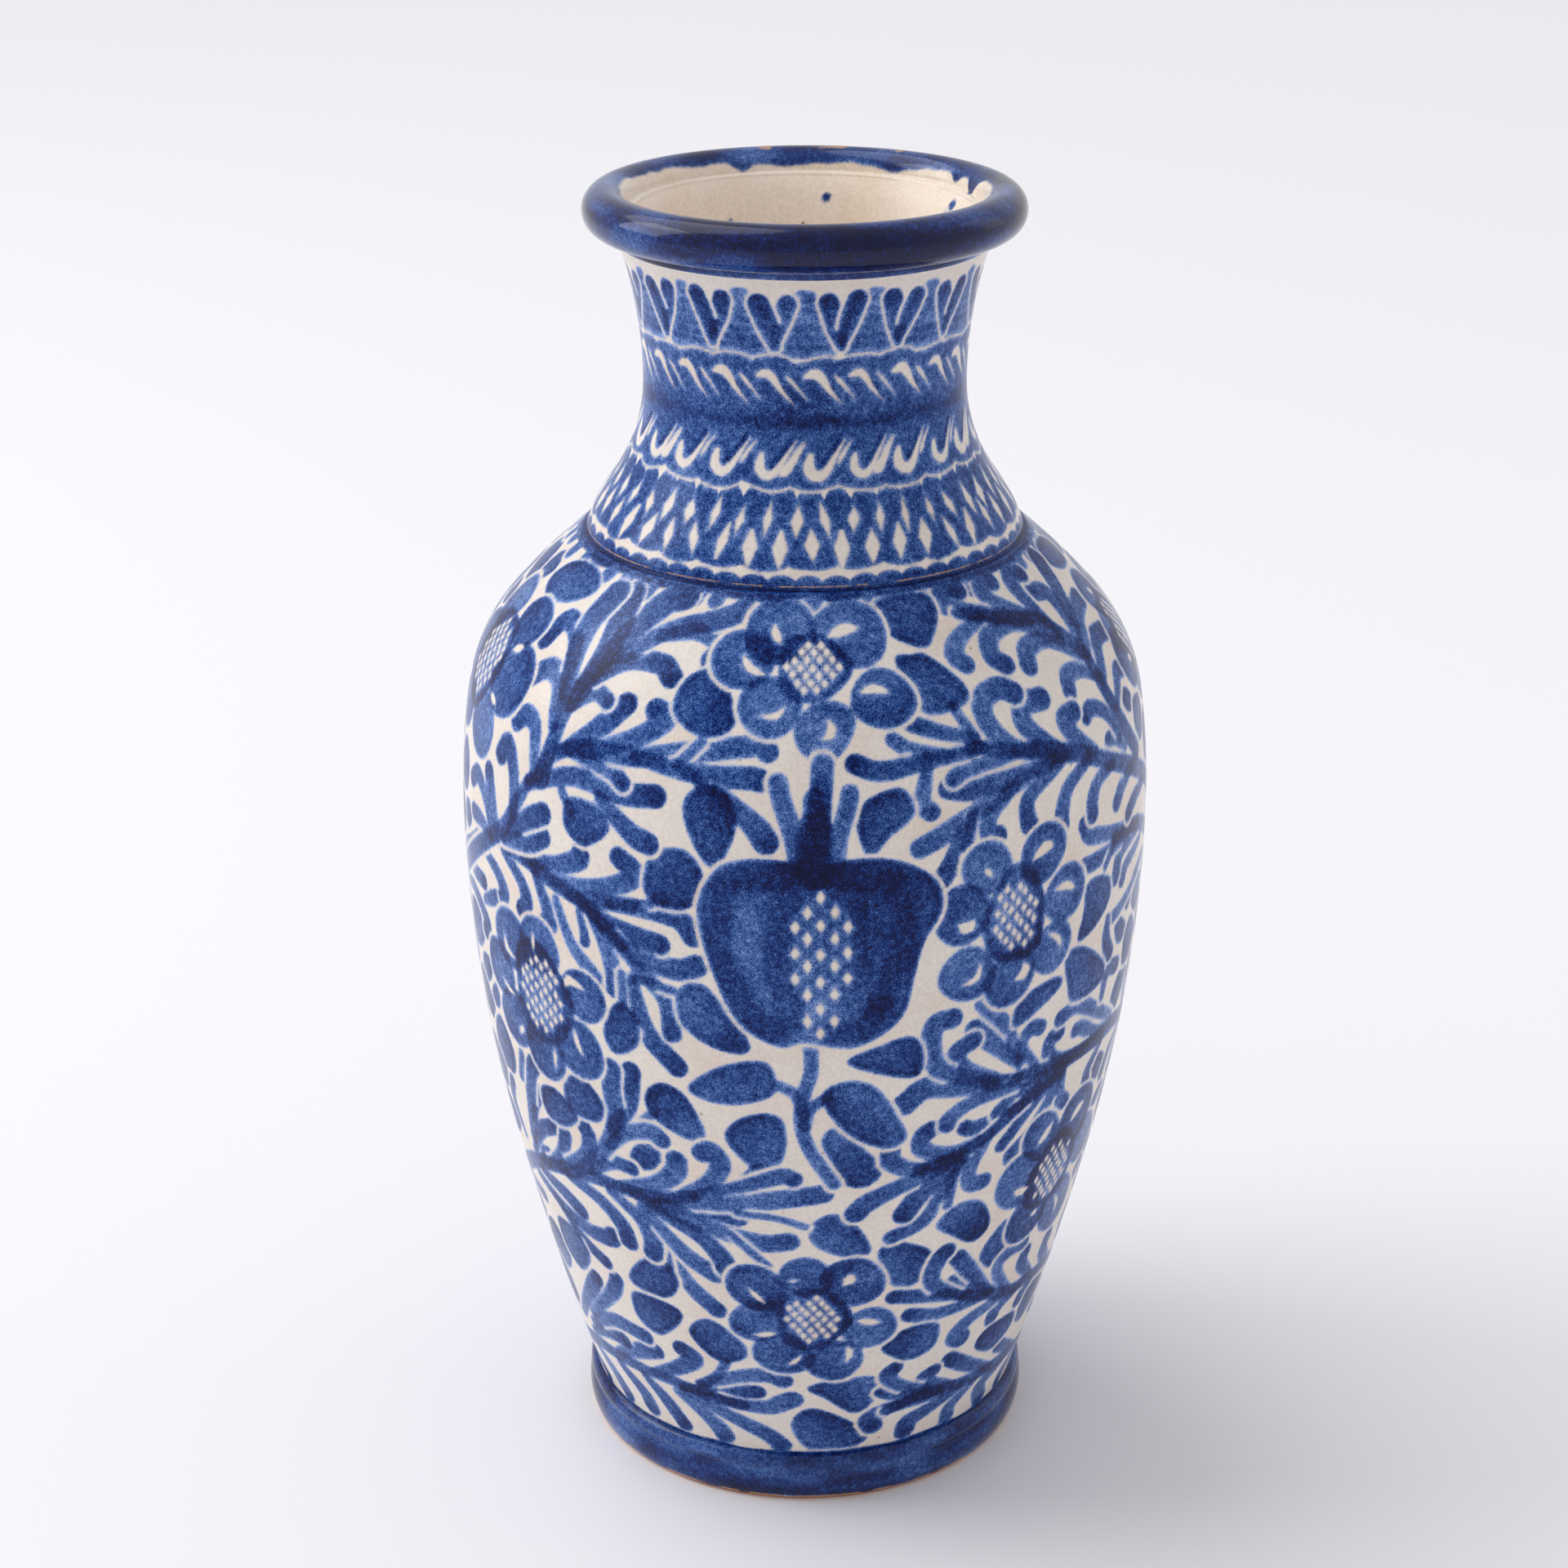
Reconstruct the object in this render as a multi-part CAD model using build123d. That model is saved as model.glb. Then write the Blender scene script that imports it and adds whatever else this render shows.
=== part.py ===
from build123d import *
import os
from math import sqrt

# A hand-thrown vase with a glazed skin, in millimetres.
# The axis is +Z and the origin is the middle of the foot, on the surface the vase stands on.
# Clay sections are thrown apart, cut at their seams and luted together with slip, then glazed.
# Radii and heights are those of the bare clay; each glaze coat lies on top of them.

# foot ring
foot_h = 15.5          # height of the ring, up to the seam with the body
foot_base_r = 68.9     # where the ring meets the ground
foot_swell = 1.9       # how far the lower roll of the ring swells past its base
foot_groove = 1.0      # depth of the tooled groove under the ring's top bead
foot_groove_z = 11.0   # height of that groove
foot_ring_w = 10.5     # width of the ring on the ground
foot_recess = 5.0      # height of the hollow under the floor

# body
seam_r = 67.8          # body radius at the top of the foot ring
belly_r = 104.5        # widest radius
belly_z = 212.0        # height of the widest line, where the two bowls are joined
shoulder_h = 85.6      # from the widest line up to the neck's seat
seat_r = 66.2          # outer radius of the seat
wall = 7.5             # thickness of every thrown wall
floor_t = 9.0          # thickness of the floor
seam_key = 2.5         # height of the ridge that locks the two bowls

# fullness of the curves: where each curve's middle point lies, as (share inwards, share of height)
flank_mid = (0.338, 0.55)
turn_mid = (0.069, 0.42)
shoulder_mid = (0.407, 0.744)
flare_mid = (0.577, 0.698)

# neck
neck_r = 47.1          # narrowest radius
neck_rise = 46.4       # from the seat up to the narrowest line
neck_h = 89.6          # from the seat up to the neck's top edge
ledge_r = 64.6         # edge of the neck's foot, which stands on the seat
ledge_h = 2.0          # height of that edge
ledge_round = 1.0      # radius worn on the edge
collar_r = 53.4        # radius under the lip
collar_h = 3.4         # height of the collar ring
collar_proud = 0.8     # how far the collar ring stands out

# lip
lip_bead_r = 6.3       # radius of the rolled bead
lip_r = 57.6           # radius of the bead's centre line
lip_rise = 6.1         # from the neck's top edge up to the bead's centre
lip_inside = 3.9       # how far above the bead's centre the throat meets it

# glaze
glaze_t = 0.5          # thickness of each coat
bare_h = 1.3           # unglazed strip at the ground
inside_line = 0.6      # how far under the bead's centre the lip colour ends inside

seat_z = belly_z + shoulder_h
neck_z = seat_z + neck_rise
neck_top = seat_z + neck_h
collar_z = neck_top - collar_h
lip_z = neck_top + lip_rise
top = lip_z + lip_bead_r
foot_ring_in = foot_base_r - foot_ring_w
base_r = seam_r - (foot_h - foot_recess) * (belly_r - seam_r) / belly_z
reach = 2 * belly_r    # far enough out to cut across everything


def between(start, end, share):
    """A curve's middle point: shares of the way in and up from start to end."""
    return (start[0] + (end[0] - start[0]) * share[0], start[1] + (end[1] - start[1]) * share[1])


def swept(start, tangent, *points):
    """Arcs through the points, each leaving in the direction the last one arrived in."""
    arcs = []
    for point in points:
        arcs.append(TangentArc(start, point, tangent=tangent))
        start, tangent = arcs[-1] @ 1, arcs[-1] % 1
    return arcs


def inset(arc):
    """The same arc one wall further in, towards the axis."""
    points = []
    for share in (0, 0.5, 1):
        along = arc % share
        side = Vector(-along.Y, along.X) * (1 if along.Y > 0 else -1)
        points.append(arc @ share + side * wall)
    return ThreePointArc(*points)


def area(edges, *corners):
    """The face inside the edges and the straight lines that join their end to the corners."""
    points = [edges[-1] @ 1, *corners, edges[0] @ 0]
    return make_face(edges + [Line(a, b) for a, b in zip(points, points[1:])])


def band(low, high, inner=0, outer=reach):
    """A plain rectangle between two heights and two radii."""
    return make_face(Polyline((inner, low), (outer, low), (outer, high), (inner, high), close=True))


belly = (belly_r, belly_z)
seat = (seat_r, seat_z)
foot_seam = (seam_r, foot_h)
ledge_top = (ledge_r, seat_z + ledge_h)
waist = (neck_r, neck_z)
collar = (collar_r, collar_z)

flank = swept(belly, (0, -1), between(belly, foot_seam, flank_mid), foot_seam)
shoulder = swept(belly, (0, 1), between(belly, seat, turn_mid), between(belly, seat, shoulder_mid), seat)
flare = swept(waist, (0, -1), between(waist, ledge_top, flare_mid), ledge_top)
throat = swept(waist, (0, 1), collar)


def hollow():
    """The whole inside, from the floor to above the lip."""
    down = [inset(arc) for arc in flank]
    up = [inset(arc) for arc in shoulder]
    low_neck = [inset(arc) for arc in flare]
    high_neck = [inset(arc) for arc in throat]
    turn = Line(up[-1] @ 1, low_neck[-1] @ 1)
    lip_in = (lip_r - sqrt(lip_bead_r**2 - lip_inside**2), lip_z + lip_inside)
    mouth = swept(high_neck[0] @ 1, high_neck[0] % 1, lip_in)
    wall_foot, slope = down[-1] @ 1, down[-1] % 1
    floor_z = foot_recess + floor_t
    cove_w = (wall_foot.Y - floor_z) * (1 + abs(slope.X)) / abs(slope.Y)
    cove = TangentArc(wall_foot, (wall_foot.X - cove_w, floor_z), tangent=slope)
    above = top + wall
    rest = Polyline(mouth[0] @ 1, (lip_in[0], above), (0, above), (0, floor_z), cove @ 1)
    return make_face([*down, *up, *low_neck, *high_neck, *mouth, turn, cove, *rest.edges()])


def foot_ring():
    swell = (foot_base_r + foot_swell, foot_groove_z / 2)
    groove = (foot_base_r + foot_swell - foot_groove, foot_groove_z)
    bead = (groove[0] + foot_groove / 2, (foot_groove_z + foot_h) / 2)
    lower = ThreePointArc((foot_base_r, 0), swell, groove)
    upper = ThreePointArc(groove, bead, (groove[0] - foot_groove, foot_h))
    return area([lower, upper], foot_seam, (base_r, foot_recess), (foot_ring_in, foot_recess), (foot_ring_in, 0))


def seam_line():
    """The keyed seam at the widest line: a ridge in the middle of the wall."""
    middle = belly_r - wall / 2
    flat = wall / 4
    return [(0, belly_z), (middle - flat, belly_z), (middle, belly_z + seam_key), (middle + flat, belly_z)]


def lower_body(inside):
    return area(flank, (base_r, foot_recess), (0, foot_recess), *seam_line()) - inside


def upper_body(inside):
    return area(shoulder, (0, seat_z), *seam_line()) - inside


def neck(inside):
    """The neck with its foot ledge and the collar ring under the lip."""
    out = collar_r + collar_proud
    ring = ThreePointArc(collar, (out, collar_z + collar_h / 2), (collar_r, neck_top))
    foot = Line(ledge_top, (ledge_r, seat_z))
    closing = Polyline((collar_r, neck_top), (0, neck_top), (0, seat_z), (ledge_r, seat_z))
    face = make_face([*flare, *throat, ring, foot, *closing.edges()]) - inside
    edge = face.vertices().sort_by_distance((ledge_r, seat_z))[0]
    return fillet(edge, ledge_round)


def lip(inside):
    """The rolled bead, seated on the neck's top edge."""
    bead = Pos(lip_r, lip_z) * Circle(lip_bead_r)
    root = band(neck_top, lip_z, 0, lip_r)
    return (bead + root) & band(neck_top, top) - inside


def glaze(clay, inside):
    """One even coat over the joined clay, cut into its separately applied colours."""
    coat = (offset(clay, glaze_t) - clay) & band(0, top + wall)
    lining_top = lip_z - inside_line
    lining = coat & inside & band(foot_recess, lining_top)
    outside = coat - inside
    return {
        "foot_glaze": outside & band(bare_h, foot_h, seam_r),
        "body_glaze": outside & band(foot_h, seat_z),
        "neck_glaze": outside & band(seat_z, collar_z),
        "lip_glaze": (outside & band(collar_z, top + wall)) + (coat & inside & band(lining_top, top + wall)),
        "inner_glaze": lining,
    }


def turned(face):
    """A half section in the radius and height plane, spun once about the axis."""
    return revolve(Plane.XZ * face, axis=Axis.Z)


inside = hollow()
sections = {
    "foot_ring": foot_ring(),
    "lower_body": lower_body(inside),
    "upper_body": upper_body(inside),
    "neck": neck(inside),
    "lip_roll": lip(inside),
}
clay = sum(sections.values(), Sketch())
sections |= glaze(clay, inside)

os.makedirs("parts", exist_ok=True)
for node, face in sections.items():
    part = turned(face)
    part.label = node
    export_step(part, f"parts/{node}.step")
    print(node, round(part.volume), len(part.solids()), part.is_valid)
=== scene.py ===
import math
import bpy
import numpy as np
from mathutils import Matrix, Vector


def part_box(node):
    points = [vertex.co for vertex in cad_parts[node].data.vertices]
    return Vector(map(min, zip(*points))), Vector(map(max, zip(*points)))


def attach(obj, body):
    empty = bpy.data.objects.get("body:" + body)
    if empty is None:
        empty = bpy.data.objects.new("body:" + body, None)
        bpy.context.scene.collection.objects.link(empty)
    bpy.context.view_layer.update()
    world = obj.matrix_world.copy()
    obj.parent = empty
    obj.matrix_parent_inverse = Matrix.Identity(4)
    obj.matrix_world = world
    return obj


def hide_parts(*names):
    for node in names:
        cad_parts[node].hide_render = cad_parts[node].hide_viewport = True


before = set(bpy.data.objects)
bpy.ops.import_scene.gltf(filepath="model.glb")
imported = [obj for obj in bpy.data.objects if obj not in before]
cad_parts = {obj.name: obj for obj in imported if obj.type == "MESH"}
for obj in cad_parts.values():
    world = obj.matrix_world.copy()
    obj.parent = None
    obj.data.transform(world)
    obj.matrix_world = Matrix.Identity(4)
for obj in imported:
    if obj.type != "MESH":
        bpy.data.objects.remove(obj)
for leftover in ("Cube", "Light", "Camera"):  # the startup file's own objects
    if leftover in bpy.data.objects:
        bpy.data.objects.remove(bpy.data.objects[leftover])
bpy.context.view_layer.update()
mm = 0.001
print("frame loaded:", sorted(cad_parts))


def trianglesOf(node):  # corner points in mm and unit normals of a node's triangles
    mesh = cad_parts[node].data
    points = np.empty(len(mesh.vertices) * 3)
    mesh.vertices.foreach_get("co", points)
    mesh.calc_loop_triangles()
    corners = np.empty(len(mesh.loop_triangles) * 3, int)
    mesh.loop_triangles.foreach_get("vertices", corners)
    tri = points.reshape(-1, 3)[corners.reshape(-1, 3)] / mm
    normal = np.cross(tri[:, 1] - tri[:, 0], tri[:, 2] - tri[:, 0])
    normal /= np.maximum(np.linalg.norm(normal, axis=1), 1e-9)[:, None]
    return tri, normal


def shownPoints(node, keep):  # (radius, height) levels on the faces that keep() picks
    tri, normal = trianglesOf(node)
    middle = tri.mean(1)
    radius = np.hypot(middle[:, 0], middle[:, 1])
    out = (middle[:, 0] * normal[:, 0] + middle[:, 1] * normal[:, 1]) / np.maximum(radius, 1e-6)
    corners = tri[keep(radius, middle[:, 2], out, normal[:, 2])].reshape(-1, 3)
    levels = np.stack([np.hypot(corners[:, 0], corners[:, 1]), corners[:, 2]], 1)
    return np.unique(np.round(levels, 3), axis=0)


def thinned(points, least=0.12):  # drops points that all but repeat the one before
    kept = [points[0]]
    for point in points[1:]:
        if np.hypot(*(point - kept[-1])) > least:
            kept.append(point)
    return np.array(kept)


def smoothLine(points, step):  # a centripetal curve through the points, evenly stepped
    points = np.vstack([2 * points[0] - points[1], points, 2 * points[-1] - points[-2]])
    knot = np.concatenate([[0], np.cumsum(np.hypot(*np.diff(points, axis=0).T) ** 0.5)])
    fine = []
    for k in range(1, len(points) - 2):
        p = points[k - 1:k + 3]
        t = knot[k - 1:k + 3]
        x = np.linspace(t[1], t[2], 24, endpoint=False)[:, None]
        a = [((t[i + 1] - x) * p[i] + (x - t[i]) * p[i + 1]) / (t[i + 1] - t[i]) for i in range(3)]
        b = [((t[i + 2] - x) * a[i] + (x - t[i]) * a[i + 1]) / (t[i + 2] - t[i]) for i in range(2)]
        fine.append(((t[2] - x) * b[0] + (x - t[1]) * b[1]) / (t[2] - t[1]))
    fine = np.vstack([*fine, points[-2][None]])
    run = np.concatenate([[0], np.cumsum(np.hypot(*np.diff(fine, axis=0).T))])
    even = np.linspace(0, run[-1], max(2, round(run[-1] / step) + 1))
    return np.stack([np.interp(even, run, fine[:, 0]), np.interp(even, run, fine[:, 1])], 1)


def byHeight(points):
    return thinned(points[np.argsort(points[:, 1], kind="stable")])


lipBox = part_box("lip_roll")
beadPoints = shownPoints("lip_roll", lambda r, z, out, up: out > 0.2)
beadReach = beadPoints[:, 0].max()
beadZ = beadPoints[beadPoints[:, 0] > beadReach - 0.01, 1].mean()
beadR = lipBox[1].z / mm - beadZ
beadC = np.array([beadReach - beadR, beadZ])


def lipPoints():  # collar from below, then round the bead and down inside
    def keep(r, z, out, up):
        away = np.hypot(r - beadC[0], z - beadC[1])
        onBead = (away < beadR + 0.9) & ((r - beadC[0]) * out + (z - beadC[1]) * up > 0.5 * beadR)
        return onBead | ((z < beadC[1] - beadR) & (out > 0.1))
    points = shownPoints("lip_glaze", keep)
    away = np.hypot(*(points - beadC).T)
    bead = points[away < beadR + 0.9]
    collar = points[(away >= beadR + 0.9) & (points[:, 1] < beadC[1] - 0.9 * beadR)]
    turn = np.degrees(np.arctan2(bead[:, 1] - beadC[1], bead[:, 0] - beadC[0]))
    turn = np.where(turn < -120, turn + 360, turn)
    return thinned(np.vstack([byHeight(collar), bead[np.argsort(turn, kind="stable")]]))


def liningPoints():  # from the lip down to the middle of the floor
    wallPart = shownPoints("inner_glaze", lambda r, z, out, up: (out < -0.12) & (abs(up) < 0.999))
    floorPart = shownPoints("inner_glaze", lambda r, z, out, up: (up > 0.5) & (z < 40))
    wallPart = byHeight(wallPart)[::-1]
    floorPart = floorPart[np.argsort(-floorPart[:, 0], kind="stable")]
    return thinned(np.vstack([wallPart, floorPart[floorPart[:, 0] < wallPart[-1][0] - 0.1]]), 0.3)


def outerLine(node, floorZ=-1.0):  # the outer face of a coat, from its foot up
    return byHeight(shownPoints(node, lambda r, z, out, up: (out > 0.15) & (z > floorZ)))


lipJoint = {"flatTop": (-0.95, 0.05), "round": (0.3, 0.7)}  # mm, how the rim's coat runs over onto the lining
bodyLine = outerLine("body_glaze", 16.2)
neckLine = outerLine("neck_glaze")
footLine = np.vstack([outerLine("foot_glaze"), bodyLine[:1]])
liningLine = liningPoints()
beadLine = lipPoints()
lipLine = np.vstack([beadLine, beadLine[-1] + lipJoint["flatTop"], liningLine[0] + lipJoint["round"],
                     liningLine[0]])
print("profiles read from the frame")

# Every brush mark is laid on an unrolled sheet: degrees round from the front, mm up the surface.

rng = np.random.default_rng(7)
unpainted = -9.0  # painted depth in mm where no paint is near


def newSheet(line, cell):  # an unrolled surface: paint depth in mm, tone and wear from 0 to 1, relief in mm
    line = line[np.r_[True, np.hypot(*np.diff(line, axis=0).T) > 1e-6]]
    even = smoothLine(line, cell)
    step = np.hypot(*np.diff(even, axis=0).T).mean()
    count = round(2 * math.pi * even[:, 0].max() / cell)
    shape = (len(even), count)
    sheet = {key: np.zeros(shape) for key in ("tone", "wear", "relief")}
    sheet.update(line=even, along=np.arange(len(even)) * step, step=step, paint=np.full(shape, unpainted),
                 turn=np.arange(count) * 360 / count - 180)
    return sheet


def softNoise(shape, cells, seed):  # smooth noise from 0 to 1, joined across the back
    source = np.random.default_rng(seed).random((cells[0] + 3, cells[1]))
    y = np.linspace(0, cells[0], shape[0])
    x = np.arange(shape[1]) * cells[1] / shape[1]
    j = y.astype(int)
    i = x.astype(int)
    v = (y - j)[:, None]
    u = (x - i)[None, :]
    v = v * v * (3 - 2 * v)
    u = u * u * (3 - 2 * u)
    right = (i + 1) % cells[1]
    low = source[np.ix_(j, i)] * (1 - u) + source[np.ix_(j, right)] * u
    high = source[np.ix_(j + 1, i)] * (1 - u) + source[np.ix_(j + 1, right)] * u
    return low * (1 - v) + high * v


def patchOf(sheet, points, margin):  # the part of the sheet near some points, wrapping round the back
    points = np.array(points, float)
    low = points.min(0)
    high = points.max(0)
    rows = np.nonzero((sheet["along"] > low[1] - margin) & (sheet["along"] < high[1] + margin))[0]
    if len(rows) < 2:
        return None
    radius = sheet["line"][rows, 0]
    extra = math.degrees(margin / radius.min())
    step = 360 / len(sheet["turn"])
    first = math.floor((low[0] - extra + 180) / step)
    count = min(math.ceil((high[0] + extra + 180) / step) - first + 1, len(sheet["turn"]))
    columns = np.arange(first, first + count)
    return {"rows": rows, "columns": columns % len(sheet["turn"]), "x": columns * step - 180,
            "y": sheet["along"][rows], "scale": (radius * math.pi / 180)[:, None]}


def nearPart(patch, points, margin):  # slices of a patch that a single mark can reach
    points = np.array(points, float)
    low = points.min(0)
    high = points.max(0)
    extra = margin / patch["scale"].min()
    j = np.searchsorted(patch["y"], (low[1] - margin, high[1] + margin))
    i = np.searchsorted(patch["x"], (low[0] - extra, high[0] + extra))
    return slice(*j), slice(*i)


def bend(points, count):  # a smooth path through given points
    points = np.array(points, float)
    if len(points) == 1:
        return np.repeat(points, 2, axis=0)
    if len(points) == 2:
        return points[0] + (points[1] - points[0]) * np.linspace(0, 1, count)[:, None]
    ghost = np.vstack([2 * points[0] - points[1], points, 2 * points[-1] - points[-2]])
    t = np.linspace(0, len(points) - 1, count)
    k = np.minimum(t.astype(int), len(points) - 2)
    u = (t - k)[:, None]
    a, b, c, d = (ghost[k + i] for i in range(4))
    return b + 0.5 * u * (c - a + u * (2 * a - 5 * b + 4 * c - d + u * (3 * (b - c) + d - a)))


def strokeDepth(patch, part, points, size):  # depth inside a stroke in mm, and how far along it
    x = patch["x"][None, part[1]]
    y = patch["y"][part[0], None]
    scale = patch["scale"][part[0]]
    span = np.diff(np.array(points, float), axis=0) * (scale.mean(), 1)
    path = bend(points, max(4, int(np.hypot(*span.T).sum() / 2.4) + 2))
    share = np.linspace(0, 1, len(path))
    fat = size(share)
    depth = np.full((y.shape[0], x.shape[1]), -99.0)
    where = np.zeros_like(depth)
    for k in range(len(path) - 1):
        dx = (path[k + 1, 0] - path[k, 0]) * scale
        dy = path[k + 1, 1] - path[k, 1]
        px = (x - path[k, 0]) * scale
        py = y - path[k, 1]
        t = np.clip((px * dx + py * dy) / (dx * dx + dy * dy + 1e-9), 0, 1)
        one = fat[k] + (fat[k + 1] - fat[k]) * t - np.hypot(px - t * dx, py - t * dy)
        closer = one > depth
        depth = np.where(closer, one, depth)
        where = np.where(closer, share[k] + (share[k + 1] - share[k]) * t, where)
    return depth, where


def blobDepth(patch, part, points):  # depth inside a closed, smooth outline
    points = np.array(points, float)
    count = len(points)
    ring = bend(np.vstack([points[-1], points, points[:2]]), 7 * (count + 2) + 1)[7:-7]
    x = patch["x"][None, part[1]]
    y = patch["y"][part[0], None]
    scale = patch["scale"][part[0]]
    away = np.full((y.shape[0], x.shape[1]), 99.0)
    inside = np.zeros(away.shape, bool)
    for (ax, ay), (bx, by) in zip(ring[:-1], ring[1:]):
        dx = (bx - ax) * scale
        dy = by - ay
        px = (x - ax) * scale
        py = y - ay
        t = np.clip((px * dx + py * dy) / (dx * dx + dy * dy + 1e-9), 0, 1)
        away = np.minimum(away, np.hypot(px - t * dx, py - t * dy))
        crosses = (ay > y) != (by > y)
        inside ^= crosses & (x < ax + (y - ay) * (bx - ax) / (dy if dy else 1e-9))
    return np.where(inside, away, -away)


def windowDepth(patch, part, centres, wide, high, lean=0.0):  # depth inside small diamond windows
    depth = np.full((patch["y"][part[0]].size, patch["x"][part[1]].size), -99.0)
    for cx, cy in centres:
        py = patch["y"][part[0], None] - cy
        px = np.abs((patch["x"][None, part[1]] - cx) * patch["scale"][part[0]] + lean * py)
        py = np.abs(py)
        depth = np.maximum(depth, (1 - px / wide - py / high) * min(wide, high) * 0.8)
    return depth


def comma(size):  # fine where the brush lands, full where it lifts
    return lambda share: size * (0.5 + 0.5 * np.clip(share / 0.6, 0, 1) ** 0.85)


def evenWidth(size):
    return lambda share: size + 0 * share


def taper(size):
    return lambda share: size * (1.25 - 0.55 * share)


def spindle(size):  # fine at both ends
    return lambda share: size * np.clip(np.sin(math.pi * np.clip(share, 0.02, 0.98)), 0, 1) ** 0.55


def trail(size):  # full near its start, running out to nothing
    return lambda share: size * np.clip(np.sin(math.pi * np.clip(share, 0.02, 0.99) ** 0.5), 0.02, 1) ** 0.8


def oval(x, y, wide, high, lean=0.0):  # outline of a slightly lobed spot
    around = np.linspace(0, 2 * math.pi, 9)[:-1]
    bulge = 1 + 0.09 * np.sin(3 * around + x)
    return [(x + wide / 2 * c * b + lean * s, y + high / 2 * s * b)
            for c, s, b in zip(np.cos(around), np.sin(around), bulge)]


def smooth(low, high, value):
    t = np.clip((value - low) / (high - low), 0, 1)
    return t * t * (3 - 2 * t)


def layMotif(sheet, motif, gap=1.05, tone=0.5, pool=0.4,
             swell=0.7):  # paints marks, keeping a gap to older ones
    kinds = ("trunks", "strokes", "lines", "eyes", "washes")
    reach = [p for kind in kinds for mark in motif.get(kind, []) for p in mark if isinstance(p, tuple)]
    reach += [p for outline in motif.get("blobs", []) for p in outline]
    reach += [(x + k * r / 1.2, y) for x, y, r in motif.get("discs", []) for k in (-1, 1)]
    patch = patchOf(sheet, reach, 14.0)
    if patch is None:
        return
    at = np.ix_(patch["rows"], patch["columns"])
    old = sheet["paint"][at]
    depth = np.full(old.shape, unpainted)
    laid = np.zeros(old.shape)

    def brushed(size, points, profile):  # the slices a stroke reaches, its depth and the share run along it
        part = nearPart(patch, points, size + 9)
        return part, *strokeDepth(patch, part, points, profile(size))

    def put(part, one, strength):
        one = one + swell
        cover = np.clip(one / 0.5 + 0.5, 0, 1)
        laid[part] = 1 - (1 - laid[part]) * (1 - np.clip(strength, 0, 0.95) * cover)
        depth[part] = np.maximum(depth[part], one)

    for kind, profile, weight in (("trunks", taper, 1.1), ("lines", evenWidth, 0.9)):
        for size, *points in motif.get(kind, []):
            part, one, share = brushed(size, points, profile)
            put(part, one, tone * weight)
    for outline in motif.get("blobs", []):  # darker to one side and round the rim
        part = nearPart(patch, outline, 11)
        one = blobDepth(patch, part, outline)
        lean = rng.uniform(-1, 1, 2)
        centre = np.mean(outline, axis=0)
        across = (patch["x"][None, part[1]] - centre[0]) * patch["scale"][part[0]] * lean[0]
        tilt = np.clip((across + (patch["y"][part[0], None] - centre[1]) * lean[1]) / 9, -1, 1)
        rim = np.exp(-((one - 1.0) / 0.8) ** 2)
        put(part, one, tone * (1.12 + 0.2 * rim + 0.3 * tilt) * rng.uniform(0.92, 1.12))
    for x, y, r in motif.get("discs", []):
        part, one, share = brushed(r, [(x, y)], evenWidth)
        wave = softNoise(one.shape, (3, 3), int(abs(x * 31 + y)) + 5) - 0.5
        rim = np.exp(-((one - 1.2) / 1.0) ** 2)
        put(part, one + wave * 3.0, tone * (0.95 + 0.16 * rim + 0.5 * wave) * rng.uniform(0.9, 1.15))
    for size, *points in motif.get("strokes", []):  # pools of colour gather at the far end
        part, one, share = brushed(size, points, comma)
        free = smooth(0.22, 0.5, share)
        one = np.minimum(one, -depth[part] - 0.8 - swell + (1 - free) * 7)
        put(part, one, tone * (0.88 + pool * share ** 3) * rng.uniform(0.88, 1.15))
    for size, strength, *points in motif.get("washes", []):
        part, one, share = brushed(size, points, evenWidth)
        laid[part] = 1 - (1 - laid[part]) * (1 - strength * np.clip(one / 2.5 + 0.3, 0, 1))
    for size, *points in motif.get("eyes", []):
        part, one, share = brushed(size, points, spindle)
        depth[part] = np.minimum(depth[part], -one)
    for wide, high, centres in motif.get("windows", []):
        part = nearPart(patch, centres, 6)
        depth[part] = np.minimum(depth[part], -windowDepth(patch, part, centres, wide, high))
    depth = np.minimum(depth, -old - gap)
    sheet["tone"][at] = np.where(old > -0.5 * gap, sheet["tone"][at], np.maximum(laid, sheet["tone"][at]))
    sheet["paint"][at] = np.maximum(depth, old)


def lattice(x, y, reachX, reachY, stepX=2.5, stepY=4.6, slant=0.5):  # staggered centres in an oval
    centres = []
    rows = int(reachY / stepY * 2) + 1
    for j in range(-rows, rows + 1):
        for i in range(-6, 7):
            dy = j * stepY / 2 + rng.uniform(-0.3, 0.3)
            dx = (i + 0.5 * (j % 2)) * stepX + slant * j * 0.35 + rng.uniform(-0.12, 0.12)
            if (dx / reachX) ** 2 + (dy / reachY) ** 2 < 1:
                centres.append((x + dx, y + dy))
    return centres


def flower(x, y, reachX, reachY, petals, eyes):
    return {"discs": petals, "blobs": [oval(x, y, 2.6 * reachX, 2.7 * reachY)],
            "eyes": eyes, "windows": [(1.1, 1.55, lattice(x, y, reachX, reachY))]}


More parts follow.
